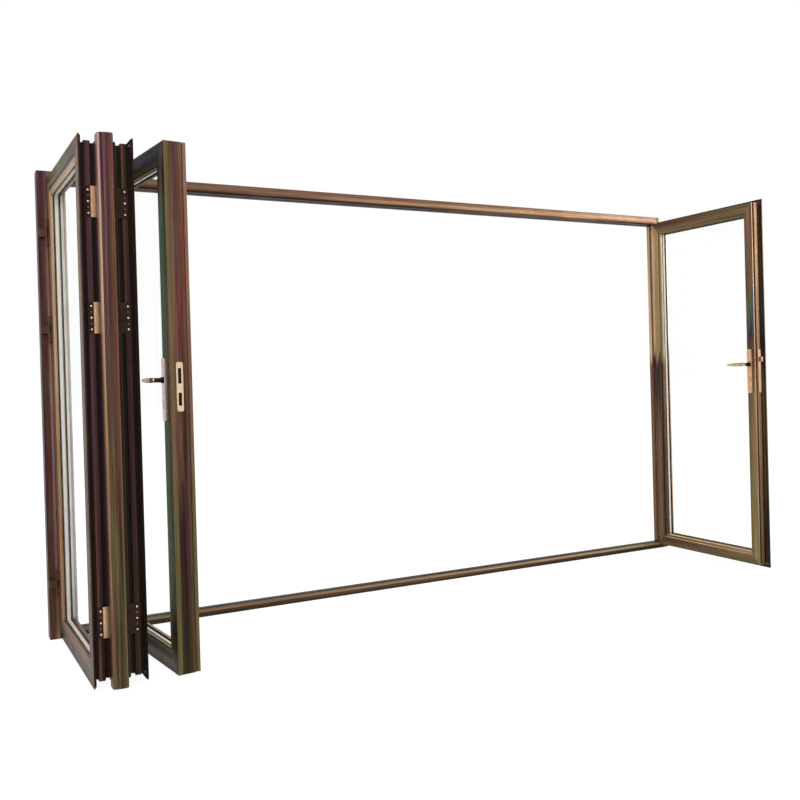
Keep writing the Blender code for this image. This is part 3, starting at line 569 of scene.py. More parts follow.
@dataclass(frozen=True)
class FloorPaint(Finish):
    """Plain pale floor that shows white to the camera and keeps the object's shadow."""

    colour: Colour = (0.86, 0.86, 0.86)
    glow: float = 0.75
    strength: float = 1.24

    def surface(self, graph: Graph) -> bpy.types.NodeSocket:
        """Build the floor's shader.

        Args:
            graph: the material's tree.

        Returns:
            The shader's output.
        """
        matt = graph.add("ShaderNodeBsdfDiffuse", {"Color": self.colour})
        white = graph.add("ShaderNodeEmission", {"Color": (1.0, 1.0, 1.0), "Strength": self.strength})
        path = graph.add("ShaderNodeLightPath")
        seen = graph.maths("MAXIMUM", path.outputs["Is Camera Ray"], path.outputs["Is Glossy Ray"])
        seen = graph.maths("MAXIMUM", seen, path.outputs["Is Transmission Ray"])
        share = graph.maths("MULTIPLY", seen, self.glow)
        mixed = graph.add("ShaderNodeMixShader", {0: share, 1: matt.outputs[0], 2: white.outputs[0]})
        return mixed.outputs[0]


RUBBER = MattSeal(name="black_rubber")
BROWN_RUBBER = MattSeal(name="brown_rubber", colour=tint(0x8A6E4C), dust=tint(0xB09268))
THERMAL_BREAK = MattSeal(name="thermal_break", colour=INK, dust=NIGHT, roughness=0.5)
GLASS = ClearGlass(name="float_glass")
HARDWARE = SatinMetal(name="champagne_satin")
BRIGHT = SatinMetal(name="bright_screw", colour=tint(0xF4E8D8), shade=tint(0xD8C4AC), roughness=0.25)
DULL = SatinMetal(name="dull_screw", colour=tint(0x8A7058), shade=tint(0x54402F), roughness=0.35)
SPACER = MattSeal(name="spacer_bar", slot="clear_glass", colour=tint(0xFAF6EE), dust=tint(0xE8E0D4),
                  roughness=0.45)
GLASS_EDGE = MattSeal(name="glass_edge", slot="clear_glass", colour=tint(0xF0F8F2), dust=tint(0xD8E8DE),
                      roughness=0.4)


def new_piece(name: str, mesh: bpy.types.Mesh, finishes: list[Finish], body: str) -> bpy.types.Object:
    """Show a finished mesh as a piece that rides on a body.

    Args:
        name: the piece's name.
        mesh: its mesh, already in place.
        finishes: one finish for each material index.
        body: the body that carries it.

    Returns:
        The piece.
    """
    mesh.name = name
    for finish in finishes[len(mesh.materials):]:
        mesh.materials.append(finish.material())
    piece = bpy.data.objects.new(name, mesh)
    bpy.context.scene.collection.objects.link(piece)
    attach(piece, body)
    LOG.info("%s: %d faces on %s", name, len(mesh.polygons), body)
    return piece


def dress(name: str, finish: Finish) -> None:
    """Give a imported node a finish."""
    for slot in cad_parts[name].material_slots:
        slot.material = finish.material()
    LOG.info("%s: %s", name, finish.name)


def join_meshes(parts: list[bpy.types.Mesh], indices: list[int] | None = None) -> bpy.types.Mesh:
    """Put several meshes into one.

    Args:
        parts: the meshes, which are removed.
        indices: a material index for each.

    Returns:
        The joined mesh.
    """
    shape = bmesh.new()
    for number, part in enumerate(parts):
        start = len(shape.faces)
        shape.from_mesh(part)
        shape.faces.ensure_lookup_table()
        for one in shape.faces[start:]:
            one.material_index = indices[number] if indices else 0
        bpy.data.meshes.remove(part)
    joined = bpy.data.meshes.new("joined")
    shape.to_mesh(joined)
    shape.free()
    return joined


def ring_mesh(section: list[Point2], width: Point2, height: Point2, open_side: Side | None = None,
              smooth: bool = False) -> bpy.types.Mesh:
    """A closed section swept round an upright rectangle, with mitred corners.

    Args:
        section: (inset, depth) points of the section, inset from the rectangle's edges.
        width: lowest and highest u of the rectangle.
        height: lowest and highest z of the rectangle.
        open_side: a side that is left out, whose ends are closed.
        smooth: whether the faces are shaded as round ones.

    Returns:
        The mesh, in the leaf's frame.
    """
    shape = bmesh.new()
    corners = ((width[0], height[0], 1, 1), (width[1], height[0], -1, 1),
               (width[1], height[1], -1, -1), (width[0], height[1], 1, -1))
    loops = [[shape.verts.new((u + du * inset, depth, z + dz * inset)) for inset, depth in section]
             for u, z, du, dz in corners]
    for side in Side:
        loop = loops[side.value]
        after = loops[(side.value + 1) % len(loops)]
        if side is open_side:
            shape.faces.new(loop)
            shape.faces.new(after)
            continue
        for index in range(len(section)):
            following = (index + 1) % len(section)
            shape.faces.new((loop[index], loop[following], after[following], after[index]))
    bmesh.ops.recalc_face_normals(shape, faces=shape.faces)
    for one in shape.faces:
        one.smooth = smooth
    mesh = bpy.data.meshes.new("ring")
    shape.to_mesh(mesh)
    shape.free()
    return mesh


def box_mesh(low: Vector, high: Vector, rounding: float = 0.0) -> bpy.types.Mesh:
    """A box with slightly rounded edges.

    Args:
        low: its lowest corner.
        high: its highest corner.
        rounding: width of the rounding.

    Returns:
        The mesh.
    """
    shape = bmesh.new()
    bmesh.ops.create_cube(shape, size=1.0)
    bmesh.ops.scale(shape, vec=high - low, verts=shape.verts)
    bmesh.ops.translate(shape, vec=(low + high) / 2, verts=shape.verts)
    if rounding:
        bmesh.ops.bevel(shape, geom=shape.edges, offset=rounding, segments=2, affect="EDGES", profile=0.5)
    mesh = bpy.data.meshes.new("box")
    shape.to_mesh(mesh)
    shape.free()
    return mesh


@dataclass
class LeafPlace:
    """Where a leaf stands: its own frame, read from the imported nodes."""

    number: int
    outside_x: int
    body: str = "frame"
    matrix: Matrix = field(init=False)
    width: float = field(init=False)
    low: float = field(init=False)
    high: float = field(init=False)

    def __post_init__(self) -> None:
        """Read the leaf's direction and corner from its glass and its stiles."""
        glass = self.points("glass")
        plan = sorted({(round(p.x, 4), round(p.y, 4)) for p in glass})
        spans = [(Vector(b) - Vector(a)) for a in plan for b in plan if a != b]
        shortest = min(spans, key=lambda span: span.length)
        inward = Vector((shortest.x, shortest.y, 0)).normalized()
        if inward.x * self.outside_x > 0:
            inward = -inward
        across = inward.cross(Vector((0, 0, 1)))
        turn = Matrix((across, inward, (0, 0, 1))).transposed()
        local = [turn.transposed() @ p for p in glass]
        stiles = [turn.transposed() @ p for p in self.points("left_stile")]
        self.width = max(p.x for p in local) - min(p.x for p in local) + 2 * (SECTION.face + SECTION.seat)
        corner = turn @ Vector((min(p.x for p in local) - SECTION.face - SECTION.seat,
                                min(p.y for p in stiles), 0))
        self.matrix = Matrix.Translation(corner) @ turn.to_4x4()
        self.low = min(p.z for p in local) - SECTION.face - SECTION.seat
        self.high = max(p.z for p in local) + SECTION.face + SECTION.seat
        LOG.info("leaf %d: %.4f wide", self.number, self.width)

    def points(self, part: str) -> list[Vector]:
        """Vertices of the leaf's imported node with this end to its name, in the model's frame."""
        return [vert.co.copy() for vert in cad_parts[f"leaf_{self.number}_{part}"].data.vertices]

    @property
    def angle(self) -> float:
        """Turn of the leaf about the vertical, in radians."""
        return math.atan2(self.matrix[1][0], self.matrix[0][0])

    def stand(self, mesh: bpy.types.Mesh) -> bpy.types.Mesh:
        """Carry a mesh from the leaf's frame into the model's frame."""
        mesh.transform(self.matrix)
        return mesh

    def spot(self, u: float, v: float, z: float) -> Vector:
        """A point of the leaf's frame, in the model's frame."""
        return self.matrix @ Vector((u, v, z))

    def way(self, u: float, v: float) -> Vector:
        """A level direction of the leaf's frame, in the model's frame."""
        return self.matrix.to_3x3() @ Vector((u, v, 0))

    def own(self, finish: Finish) -> Finish:
        """The same finish with its pattern in the leaf's frame."""
        return replace(finish, origin=tuple(self.matrix.translation), turn=self.angle)


@dataclass
class GlazedLeaf:
    """What one leaf has besides its four bars: sealed unit, gaskets, seals and thermal breaks."""

    place: LeafPlace
    pane: float = 0.004
    arris: float = 0.0004
    hair: float = 0.0001
    spacer_depth: float = 0.0065
    spacer_corner: float = 0.0012
    seal_depth: float = 0.005
    gasket_reach: float = 0.0024
    gasket_rise: float = 0.0032
    gasket_lip: float = 0.0008
    gasket_slope: float = 0.0018
    gasket_taper: float = 0.7
    gasket_crest: float = 0.0007
    bulb: float = 0.0026
    bulb_inset: float = 0.006
    bulb_sides: int = 10
    break_depths: tuple[Point2, Point2] = ((0.008, 0.018), (0.047, 0.057))
    break_proud: Point2 = (0.0001, 0.0005)

    def extent(self) -> tuple[Point2, Point2]:
        """The leaf body's rectangle, as u and z ranges."""
        return (0.0, self.place.width), (self.place.low, self.place.high)

    def tag(self) -> str:
        """The start of the leaf's piece names."""
        return f"leaf_{self.place.number}"

    def sealed_unit(self) -> None:
        """The sealed unit's glass, with its spacer bar and edge seal in it, in place of the plain pane."""
        inset = SECTION.face + SECTION.seat
        (u_low, u_high), (z_low, z_high) = self.extent()
        front = SECTION.glass_front
        back = SECTION.glass_back
        low = Vector((u_low + inset, 0, z_low + inset))
        high = Vector((u_high - inset, 0, z_high - inset))
        skin = box_mesh(low + Vector((0, front, 0)), high + Vector((0, back, 0)), self.arris)
        gap = (front + self.pane + self.hair, back - self.pane - self.hair)
        seal = [(inset + SECTION.seat, gap[0]), (inset + self.seal_depth, gap[0]),
                (inset + self.seal_depth, gap[1]), (inset + SECTION.seat, gap[1])]
        start = inset + self.seal_depth + self.hair
        end = start + self.spacer_depth
        corner = end - self.spacer_corner
        near = gap[0] + 2 * self.hair
        far = gap[1] - 2 * self.hair
        spacer = [(start, near), (corner, near), (end, gap[0] + self.spacer_corner),
                  (end, gap[1] - self.spacer_corner), (corner, far), (start, far)]
        rings = [ring_mesh(section, *self.extent()) for section in (seal, spacer)]
        mesh = join_meshes([skin] + rings, [0, 1, 2])
        for one in mesh.polygons:
            if one.material_index == 0 and abs(one.normal.y) < 0.5:
                one.material_index = 3
        finishes = [GLASS, RUBBER, SPACER, GLASS_EDGE]
        piece = new_piece(f"{self.tag()}_sealed_unit", self.place.stand(mesh), finishes, self.place.body)
        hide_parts(f"{self.tag()}_glass")

    def glazing_gaskets(self) -> None:
        """The rubber wedge that shows on each face, in the corner of the glass and the bars."""
        sight = SECTION.sight + self.hair
        reach = sight + self.gasket_reach
        rings = []
        for surface, side in ((SECTION.glass_front, -1), (SECTION.glass_back, 1)):
            near = surface + side * self.hair
            far = surface + side * self.gasket_rise
            section = [(sight, near), (reach, near), (reach, near + side * self.gasket_lip),
                       (sight + self.gasket_reach * self.gasket_taper, near + side * self.gasket_slope),
                       (sight + self.gasket_crest, far), (sight, far)]
            rings.append(ring_mesh(section, *self.extent(), smooth=True))
        mesh = join_meshes(rings)
        new_piece(f"{self.tag()}_glazing_gaskets", self.place.stand(mesh), [RUBBER], self.place.body)

    def weather_seal(self) -> None:
        """The rubber bulb behind the lip, round every side that closes on the frame or a leaf."""
        inset = self.bulb_inset - SECTION.lip_width
        depth = SECTION.lip_thickness + self.bulb + 2 * self.hair
        turns = [math.tau * step / self.bulb_sides for step in range(self.bulb_sides)]
        section = [(inset + self.bulb * math.cos(turn), depth + self.bulb * math.sin(turn)) for turn in turns]
        covered = Side.RIGHT if self.place.number == 3 else None
        mesh = ring_mesh(section, *self.extent(), open_side=covered, smooth=True)
        new_piece(f"{self.tag()}_weather_seal", self.place.stand(mesh), [RUBBER], self.place.body)

    def thermal_breaks(self) -> None:
        """The two dark plastic webs that join the outer and the inner shell, on each edge of the leaf."""
        near, far = self.break_proud
        parts = []
        for low, high in self.break_depths:
            section = [(-near, low), (-far, low + near), (-far, high - near), (-near, high)]
            parts.append(ring_mesh(section, *self.extent()))
        mesh = self.place.stand(join_meshes(parts))
        new_piece(f"{self.tag()}_thermal_breaks", mesh, [THERMAL_BREAK], self.place.body)

    def build(self) -> None:
        """Build every added piece of the leaf."""
        self.sealed_unit()
        self.glazing_gaskets()
        self.weather_seal()
        self.thermal_breaks()


@dataclass(frozen=True)
class Seat:
    """Where a screw sits: its point and the way that its head faces."""

    point: Vector
    facing: Vector


@dataclass
class ScrewSet:
    """Domed screws with a six-sided recess, set on points by a geometry tree."""

    radius: float = 0.0036
    rise: float = 0.0014
    sides: int = 20
    recess_radius: float = 0.0014
    recess_depth: float = 0.0009
    seed: int = 7

    def tree(self) -> tuple[bpy.types.NodeTree, dict[str, str]]:
        """Build the geometry tree.

        Returns:
            The tree, and the identifier of each named input.
        """
        tree = bpy.data.node_groups.new("screws_on_points", "GeometryNodeTree")
        graph = Graph(tree)
        kinds = {"Points": "NodeSocketGeometry", "Radius": "NodeSocketFloat", "Rise": "NodeSocketFloat",
                 "Recess Radius": "NodeSocketFloat", "Recess Depth": "NodeSocketFloat",
                 "Sides": "NodeSocketInt", "Seed": "NodeSocketInt", "Material": "NodeSocketMaterial"}
        names = {}
        for name, kind in kinds.items():
            names[name] = tree.interface.new_socket(name=name, in_out="INPUT", socket_type=kind).identifier
        tree.interface.new_socket(name="Screws", in_out="OUTPUT", socket_type="NodeSocketGeometry")
        given = graph.add("NodeGroupInput").outputs
        head = self.head(graph, given)
        facing = graph.add("GeometryNodeInputNamedAttribute", {"Name": "facing"}, data_type="FLOAT_VECTOR")
        upright = graph.add("FunctionNodeAlignRotationToVector", {"Vector": facing.outputs[0]}, axis="Z")
        spin = graph.add("FunctionNodeRandomValue", data_type="FLOAT")
        graph.put(spin.inputs["Seed"], given["Seed"])
        spin.inputs[3].default_value = math.tau
        about = graph.add("ShaderNodeCombineXYZ", {"Z": spin.outputs[1]})
        spun = graph.add("FunctionNodeEulerToRotation", {0: about.outputs[0]})
        turned = graph.add("FunctionNodeRotateRotation", {
            "Rotation": upright.outputs[0], "Rotate By": spun.outputs[0]}, rotation_space="LOCAL")
        placed = graph.add("GeometryNodeInstanceOnPoints", {
            "Points": given["Points"], "Instance": head, "Rotation": turned.outputs[0]})
        real = graph.add("GeometryNodeRealizeInstances", {0: placed.outputs[0]})
        dressed = graph.add("GeometryNodeSetMaterial", {0: real.outputs[0], "Material": given["Material"]})
        graph.put(graph.add("NodeGroupOutput").inputs[0], dressed.outputs[0])
        return tree, names

    def head(self, graph: Graph, given: bpy.types.bpy_prop_collection) -> bpy.types.NodeSocket:
        """The nodes of one screw head, standing on the origin.

        Args:
            graph: the geometry tree.
            given: the tree's inputs.

        Returns:
            The head's mesh.
        """
        blank = graph.add("GeometryNodeMeshCone", {
            "Vertices": given["Sides"], "Side Segments": 4, "Radius Top": given["Radius"],
            "Radius Bottom": given["Radius"], "Depth": given["Rise"]})
        position = graph.add("GeometryNodeInputPosition").outputs[0]
        x, y, z = graph.split(position)
        climb = graph.maths("DIVIDE", z, given["Rise"])
        drop = graph.maths("MULTIPLY", graph.maths("POWER", climb, 2.0), 0.62)
        share = graph.maths("SQRT", graph.maths("SUBTRACT", 1.0, drop))
        domed = graph.add("ShaderNodeCombineXYZ", {
            "X": graph.maths("MULTIPLY", x, share), "Y": graph.maths("MULTIPLY", y, share), "Z": z})
        dome = graph.add("GeometryNodeSetPosition", {0: blank.outputs[0], "Position": domed.outputs[0]})
        tool = graph.add("GeometryNodeMeshCylinder", {
            "Vertices": 6, "Radius": given["Recess Radius"],
            "Depth": graph.maths("MULTIPLY", given["Recess Depth"], 2.0)})
        lift = graph.add("ShaderNodeCombineXYZ", {"Z": given["Rise"]})
        raised = graph.add("GeometryNodeTransform", {0: tool.outputs[0], "Translation": lift.outputs[0]})
        cut = graph.add("GeometryNodeMeshBoolean", {"Mesh 1": dome.outputs[0], "Mesh 2": raised.outputs[0]},
                        operation="DIFFERENCE", solver="EXACT")
        return cut.outputs[0]

    def build(self, name: str, seats: list[Seat], finish: Finish, body: str) -> None:
        """Set screws on their seats as one piece.

        Args:
            name: the piece's name.
            seats: where they sit.
            finish: their finish.
            body: the body that carries them.
        """
        points = bpy.data.meshes.new(name)
        points.from_pydata([seat.point for seat in seats], [], [])
        facing = points.attributes.new("facing", "FLOAT_VECTOR", "POINT")
        for index, seat in enumerate(seats):
            facing.data[index].vector = seat.facing
        holder = bpy.data.objects.new(f"{name}_points", points)
        bpy.context.scene.collection.objects.link(holder)
        tree, names = self.tree()
        modifier = holder.modifiers.new("screws", "NODES")
        modifier.node_group = tree
        values = {"Radius": self.radius, "Rise": self.rise, "Recess Radius": self.recess_radius,
                  "Recess Depth": self.recess_depth, "Sides": self.sides, "Seed": self.seed,
                  "Material": finish.material()}
        for label, value in values.items():
            modifier[names[label]] = value
        evaluated = holder.evaluated_get(bpy.context.evaluated_depsgraph_get())
        mesh = bpy.data.meshes.new_from_object(evaluated)
        bpy.data.objects.remove(holder)
        new_piece(name, mesh, [finish], body)


@dataclass
class Fastenings:
    """Every screw that shows: on the hinges, the keep plate, the lock's faceplate and the handles."""

    leaves: dict[int, LeafPlace]
    flap: float = 0.0113
    pitch: float = 0.0216
    plate_face: float = 0.00335
    flap_middle: float = 0.023
    flap_stagger: float = 0.006
    flap_rows: tuple[tuple[float, int], ...] = ((-2.1, 1), (-1.2, -1), (1.2, 1), (2.1, -1))
    jamb_inset: float = 0.033
    pin_depth: float = 0.0065
    keep_reach: float = 0.086
    faceplate_reach: float = 0.108
    handle_reach: float = 0.110
    backplate_face: float = 0.01035

    def middle(self, node: str) -> Vector:
        """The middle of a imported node's box."""
        low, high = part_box(node)
        return (low + high) / 2

    def fold_hinges(self, steps: tuple[int, ...]) -> list[Seat]:
        """Seats on the fold hinges' flaps, on the edges of the first and second leaves.

        Args:
            steps: places in the row of five, from -2 to 2.

        Returns:
            The seats.
        """
        seats = []
        first, second = self.leaves[1], self.leaves[2]
        for number in (1, 2, 3):
            level = self.middle(f"fold_hinge_{number}").z
            for step in steps:
                z = level + step * self.pitch
                v = SECTION.ridge_centre
                seats.append(Seat(first.spot(first.width + self.flap, v, z), first.way(1, 0)))
                seats.append(Seat(second.spot(-self.flap, v, z), second.way(-1, 0)))
        return seats

    def face_flaps(self, number: int, pin: Vector, levels: list[float], inwards: int) -> list[Seat]:
        """Seats on the hinge flaps of a leaf's outside face, two above and two below the middle knuckle.

        Args:
            number: the leaf's number.
            pin: a point on the hinge line.
            levels: the hinges' middle heights.
            inwards: sign of u from the pin towards the leaf.

        Returns:
            The seats.
        """
        leaf = self.leaves[number]
        pin_u = (leaf.matrix.inverted() @ pin).x
        seats = []
        for level in levels:
            for step, stagger in self.flap_rows:
                u = pin_u + inwards * (self.flap_middle + stagger * self.flap_stagger)
                point = leaf.spot(u, -self.plate_face, level + step * self.pitch)
                seats.append(Seat(point, leaf.way(0, -1)))
        return seats

    def pins(self) -> dict[str, Vector]:
        """Hinge lines: the middles of the pins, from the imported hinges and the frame's width.

        Returns:
            A point on each line, by name.
        """
        jamb = CAD_BOX[1].x - self.jamb_inset
        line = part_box("jamb_hinge_right_1_fixed")[0].y + self.pin_depth
        track = self.middle("track_hinge_1").x
        return {"left": Vector((-jamb, line, 0)), "right": Vector((jamb, line, 0)),
                "track": Vector((track, line, 0))}

    def build(self) -> None:
        """Set every screw."""
        levels = [self.middle(f"fold_hinge_{number}").z for number in (1, 2, 3)]
        pins = self.pins()
        bright = self.fold_hinges((-2, 0, 2))
        ScrewSet(radius=0.0040, seed=3).build("fold_hinge_bright_screws", bright, BRIGHT, "frame")
        dull = self.fold_hinges((-1, 1))
        ScrewSet(radius=0.0036, seed=5).build("fold_hinge_dull_screws", dull, DULL, "frame")
        dark = self.face_flaps(1, pins["left"], levels, 1)
        dark += self.face_flaps(3, pins["track"], levels, 1)
        ScrewSet(seed=11).build("leaf_hinge_screws", dark, DULL, "frame")
        access = self.face_flaps(4, pins["right"], levels, -1)
        ScrewSet(seed=13).build("access_hinge_screws", access, DULL, "access_leaf")
        three, four = self.leaves[3], self.leaves[4]
        keep = self.middle("keep_plate")
        keep_v = (three.matrix.inverted() @ keep).y
        keep_u = three.width + SECTION.lip_width + self.plate_face
        ends = [Seat(three.spot(keep_u, keep_v, keep.z + side * self.keep_reach), three.way(1, 0))
                for side in (-1, 1)]
        ScrewSet(radius=0.0034, seed=17).build("keep_plate_screws", ends, BRIGHT, "frame")
        face_z = sum(corner.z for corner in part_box("lock_faceplate")) / 2
        ends = [Seat(four.spot(-self.flap, SECTION.ridge_centre, face_z + side * self.faceplate_reach),
                     four.way(-1, 0)) for side in (-1, 1)]
        plate = self.middle("leaf_4_inside_backplate")
        plate_u = (four.matrix.inverted() @ plate).x
        plate_v = SECTION.depth + self.backplate_face
        ends += [Seat(four.spot(plate_u, plate_v, plate.z + side * self.handle_reach), four.way(0, 1))
                 for side in (-1, 1)]
        ScrewSet(radius=0.0032, seed=19).build("lock_screws", ends, BRIGHT, "access_leaf")


@dataclass
class StopGaskets:
    """The rubber strips on the stops of the jambs, which the leaves close against."""

    front: float = 0.014
    rise: float = 0.0036
    inner: float = 1.760
    start: float = 0.002
    width: float = 0.006
    low: float = 0.036
    high: float = 2.046
    hair: float = 0.0001
    rounding: float = 0.0012

    def build(self) -> None:
        """Build both strips as one piece."""
        root = self.front - self.hair
        parts = []
        for side in (-1, 1):
            near = side * (self.inner - self.start)
            far = side * (self.inner - self.start - self.width)
            low = Vector((min(near, far), root - self.rise, self.low))
            high = Vector((max(near, far), root, self.high))
            parts.append(box_mesh(low, high, self.rounding))
        new_piece("jamb_stop_gaskets", join_meshes(parts), [BROWN_RUBBER], "frame")


@dataclass
class PostShoulder:
    """The rounded shoulder down the left side of the fold post, in front of its wing and its hinges."""

    width: float = 0.0185
    front_setback: float = 0.0035
    rear: float = -0.9312
    wing: float = 0.0147
    gap: float = 0.0002
    flat: float = 0.35
    steps: int = 8

    def build(self) -> None:
        """Build the shoulder as one full-height bar with a round front."""
        low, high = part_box("fold_post")
        inner = low.x + self.wing - self.gap
        outer = inner - self.width
        front = low.y + self.front_setback
        outline = [(inner, self.rear), (inner, front)]
        for step in range(self.steps + 1):
            turn = math.pi / 2 * step / self.steps
            outline.append((inner - self.width * (self.flat + (1 - self.flat) * math.sin(turn)),
                            front + self.width * (1 - math.cos(turn))))
        outline.append((outer, self.rear))
        shape = bmesh.new()
        floor = shape.faces.new([shape.verts.new((x, y, low.z)) for x, y in outline])
        raised = bmesh.ops.extrude_face_region(shape, geom=[floor])["geom"]
        top = [item for item in raised if isinstance(item, bmesh.types.BMVert)]
        bmesh.ops.translate(shape, vec=Vector((0, 0, high.z - low.z)), verts=top)
        bmesh.ops.recalc_face_normals(shape, faces=shape.faces)
        mesh = bpy.data.meshes.new("shoulder")
        shape.to_mesh(mesh)
        shape.free()
        # The shoulder's left, rounded side is painted rose and blush towards the top: a painted highlight.
        finish = AnodisedBronze(
            name="bronze_post_shoulder", across=(outer, inner), depth=(front, self.rear),
            along=(low.z, high.z), seed=15.1,
            outside=strips((BARK, OLIVE, UMBER), (CLAY, UMBER, OLIVE), (ROSE, PLUM, UMBER),
                           (COPPER, PLUM, UMBER), (BLUSH, PLUM, MULBERRY)),
            before=strips((BARK, UMBER), (CLAY, BARK), (COPPER, CLAY), (TAN, ROSE), (BLUSH, ROSE)))
        new_piece("fold_post_shoulder", mesh, [finish], "frame")


@dataclass
class Dressing:
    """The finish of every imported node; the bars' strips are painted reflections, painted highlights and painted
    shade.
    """

    leaves: dict[int, LeafPlace]

    def bar(self, number: int, part: str, **faces: Strips) -> None:
        """Dress one bar of a leaf.

        Args:
            number: the leaf's number.
            part: the bar, such as top_rail.
            **faces: the strips of its faces, painted reflections and painted shade.
        """
        place = self.leaves[number]
        low, high = -SECTION.lip_width, SECTION.sight
        limits = {"left_stile": (low, high), "right_stile": (place.width - high, place.width - low),
                  "bottom_rail": (place.low + low, place.low + high),
                  "top_rail": (place.high - high, place.high - low)}
        upright = "stile" in part
        ends = (place.low + low, place.high - low) if upright else (low, place.width - low)
        finish = AnodisedBronze(name=f"bronze_leaf_{number}_{part}", across=limits[part], along=ends,
                                run=Run.UPRIGHT if upright else Run.LEVEL,
                                seed=number * 7.0 + len(part) * 1.3, **faces)
        dress(f"leaf_{number}_{part}", place.own(finish))

    def first_leaf(self) -> None:
        """Painted reflections: rosy outside, painted glare on the returns by the glass, a dark edge with a plum
        ridge.
        """
        # The returns that face the glass are painted near-white: painted glare.
        pale = strips((COPPER, GLARE, GLARE, GLARE), (TAN, GLARE, GLARE, GLARE))
        self.bar(1, "left_stile", before=strips((NIGHT, MAROON, INK)), after=pale,
                 outside=strips((CLAY, BARK, CLAY), (ROSE, CLAY, BRASS), (ROSE, COPPER, BRASS)),
                 room=strips((NIGHT, PLUM), (NIGHT, UMBER)))
        self.bar(1, "right_stile", outside=strips((UMBER, BARK, UMBER), (BARK, COPPER, UMBER)),
                 room=strips((NIGHT, PLUM), (NIGHT, WINE)), before=pale,
                 after=strips((NIGHT, SOOT, MAROON, NIGHT, SOOT, MULBERRY),
                              (NIGHT, INK, PLUM, MULBERRY, SOOT, VIOLET),
                              (NIGHT, INK, MULBERRY, PLUM, SOOT, MULBERRY)))
        self.bar(1, "top_rail", room=strips((NIGHT, UMBER)), before=strips((CREAM, TAN, BRASS)),
                 outside=strips((TAN, NIGHT, BRASS, OLIVE, BARK), (TAN, NIGHT, BARK, OLIVE, BARK)),
                 after=strips((UMBER, NIGHT)))
        self.bar(1, "bottom_rail", room=strips((NIGHT, MAROON)), before=strips((NIGHT, INK)),
                 outside=strips((NIGHT, MAROON, UMBER, CLAY, COPPER)), after=strips((CLAY, COPPER, BARK)))

    def second_leaf(self) -> None:
        """The darkest leaf, in the shade of the stack."""
        self.bar(2, "left_stile", outside=strips((LODEN, NIGHT, INK)),
                 room=strips((INK, NIGHT), (NIGHT, PLUM)),
                 before=strips((INK, SOOT, LODEN, NIGHT, INK, LODEN),
                               (SOOT, INK, MULBERRY, NIGHT, SOOT, LODEN),
                               (SOOT, INK, NIGHT, UMBER, SOOT, LODEN)),
                 after=strips((NIGHT, UMBER, OLIVE)))
        self.bar(2, "right_stile", outside=strips((NIGHT, LODEN)), room=strips((NIGHT, UMBER)),
                 before=strips((OLIVE, UMBER)), after=strips((NIGHT, UMBER, NIGHT)))
        for part in ("top_rail", "bottom_rail"):
            self.bar(2, part, outside=strips((LODEN, UMBER)), room=strips((NIGHT, UMBER)),
                     before=strips((UMBER, OLIVE)), after=strips((OLIVE, UMBER)))

    def third_leaf(self) -> None:
        """Painted reflections in violet and moss outside, with the keep plate's strip in olive and maroon."""
        self.bar(3, "left_stile", outside=strips((LODEN, MOSS), (VIOLET, NIGHT)), room=strips((NIGHT, UMBER)),
                 before=strips((NIGHT, UMBER)), after=strips((BRASS, TAN, OLIVE), (TAN, BRASS, UMBER)))
        self.bar(3, "right_stile",
                 outside=strips((OLIVE, LODEN, LODEN), (OLIVE, MOSS, LODEN), (MOSS, MOSS, UMBER),
                                (MOSS, MOSS, NIGHT), (PLUM, ROSE, NIGHT), (VIOLET, PLUM, NIGHT),
                                levels=(0, 0.35, 0.6, 0.85, 0.93, 1)),
                 room=strips((NIGHT, MAROON)), before=strips((BRASS, UMBER), (TAN, BRASS)),
                 after=strips((OLIVE, MAROON), (BARK, WINE)))
        self.bar(3, "top_rail", outside=strips((OLIVE, NIGHT, VIOLET, SOOT), (UMBER, SOOT, VIOLET, SOOT)),
                 room=strips((NIGHT, PLUM)), before=strips((OLIVE, BARK, NIGHT)), after=strips((NIGHT, PLUM)))
        self.bar(3, "bottom_rail", outside=strips((LODEN, OLIVE, LODEN, OLIVE)), room=strips((NIGHT, OLIVE)),
                 before=strips((INK, NIGHT)), after=strips((BRASS, TAN, OLIVE)))
        place = self.leaves[3]
        edge = place.width + SECTION.lip_width
        finish = AnodisedBronze(name="bronze_leaf_3_cover_strip", across=(place.width, edge),
                                depth=(0.005, 0.086), seed=31.0,
                                outside=strips((OLIVE, BARK)), room=strips((BARK, OLIVE, ROSE)),
                                before=strips((NIGHT, UMBER)),
                                after=strips((OLIVE, LODEN, NIGHT, LODEN, UMBER, OLIVE),
                                             (OLIVE, NIGHT, SOOT, MULBERRY, UMBER, OLIVE),
                                             (BARK, UMBER, MAROON, NIGHT, UMBER, BARK),
                                             (OLIVE, BARK, WINE, MAROON, WINE, CLAY),
                                             (OLIVE, UMBER, PLUM, MAROON, BARK, CLAY)))
        dress("leaf_3_cover_strip", place.own(finish))

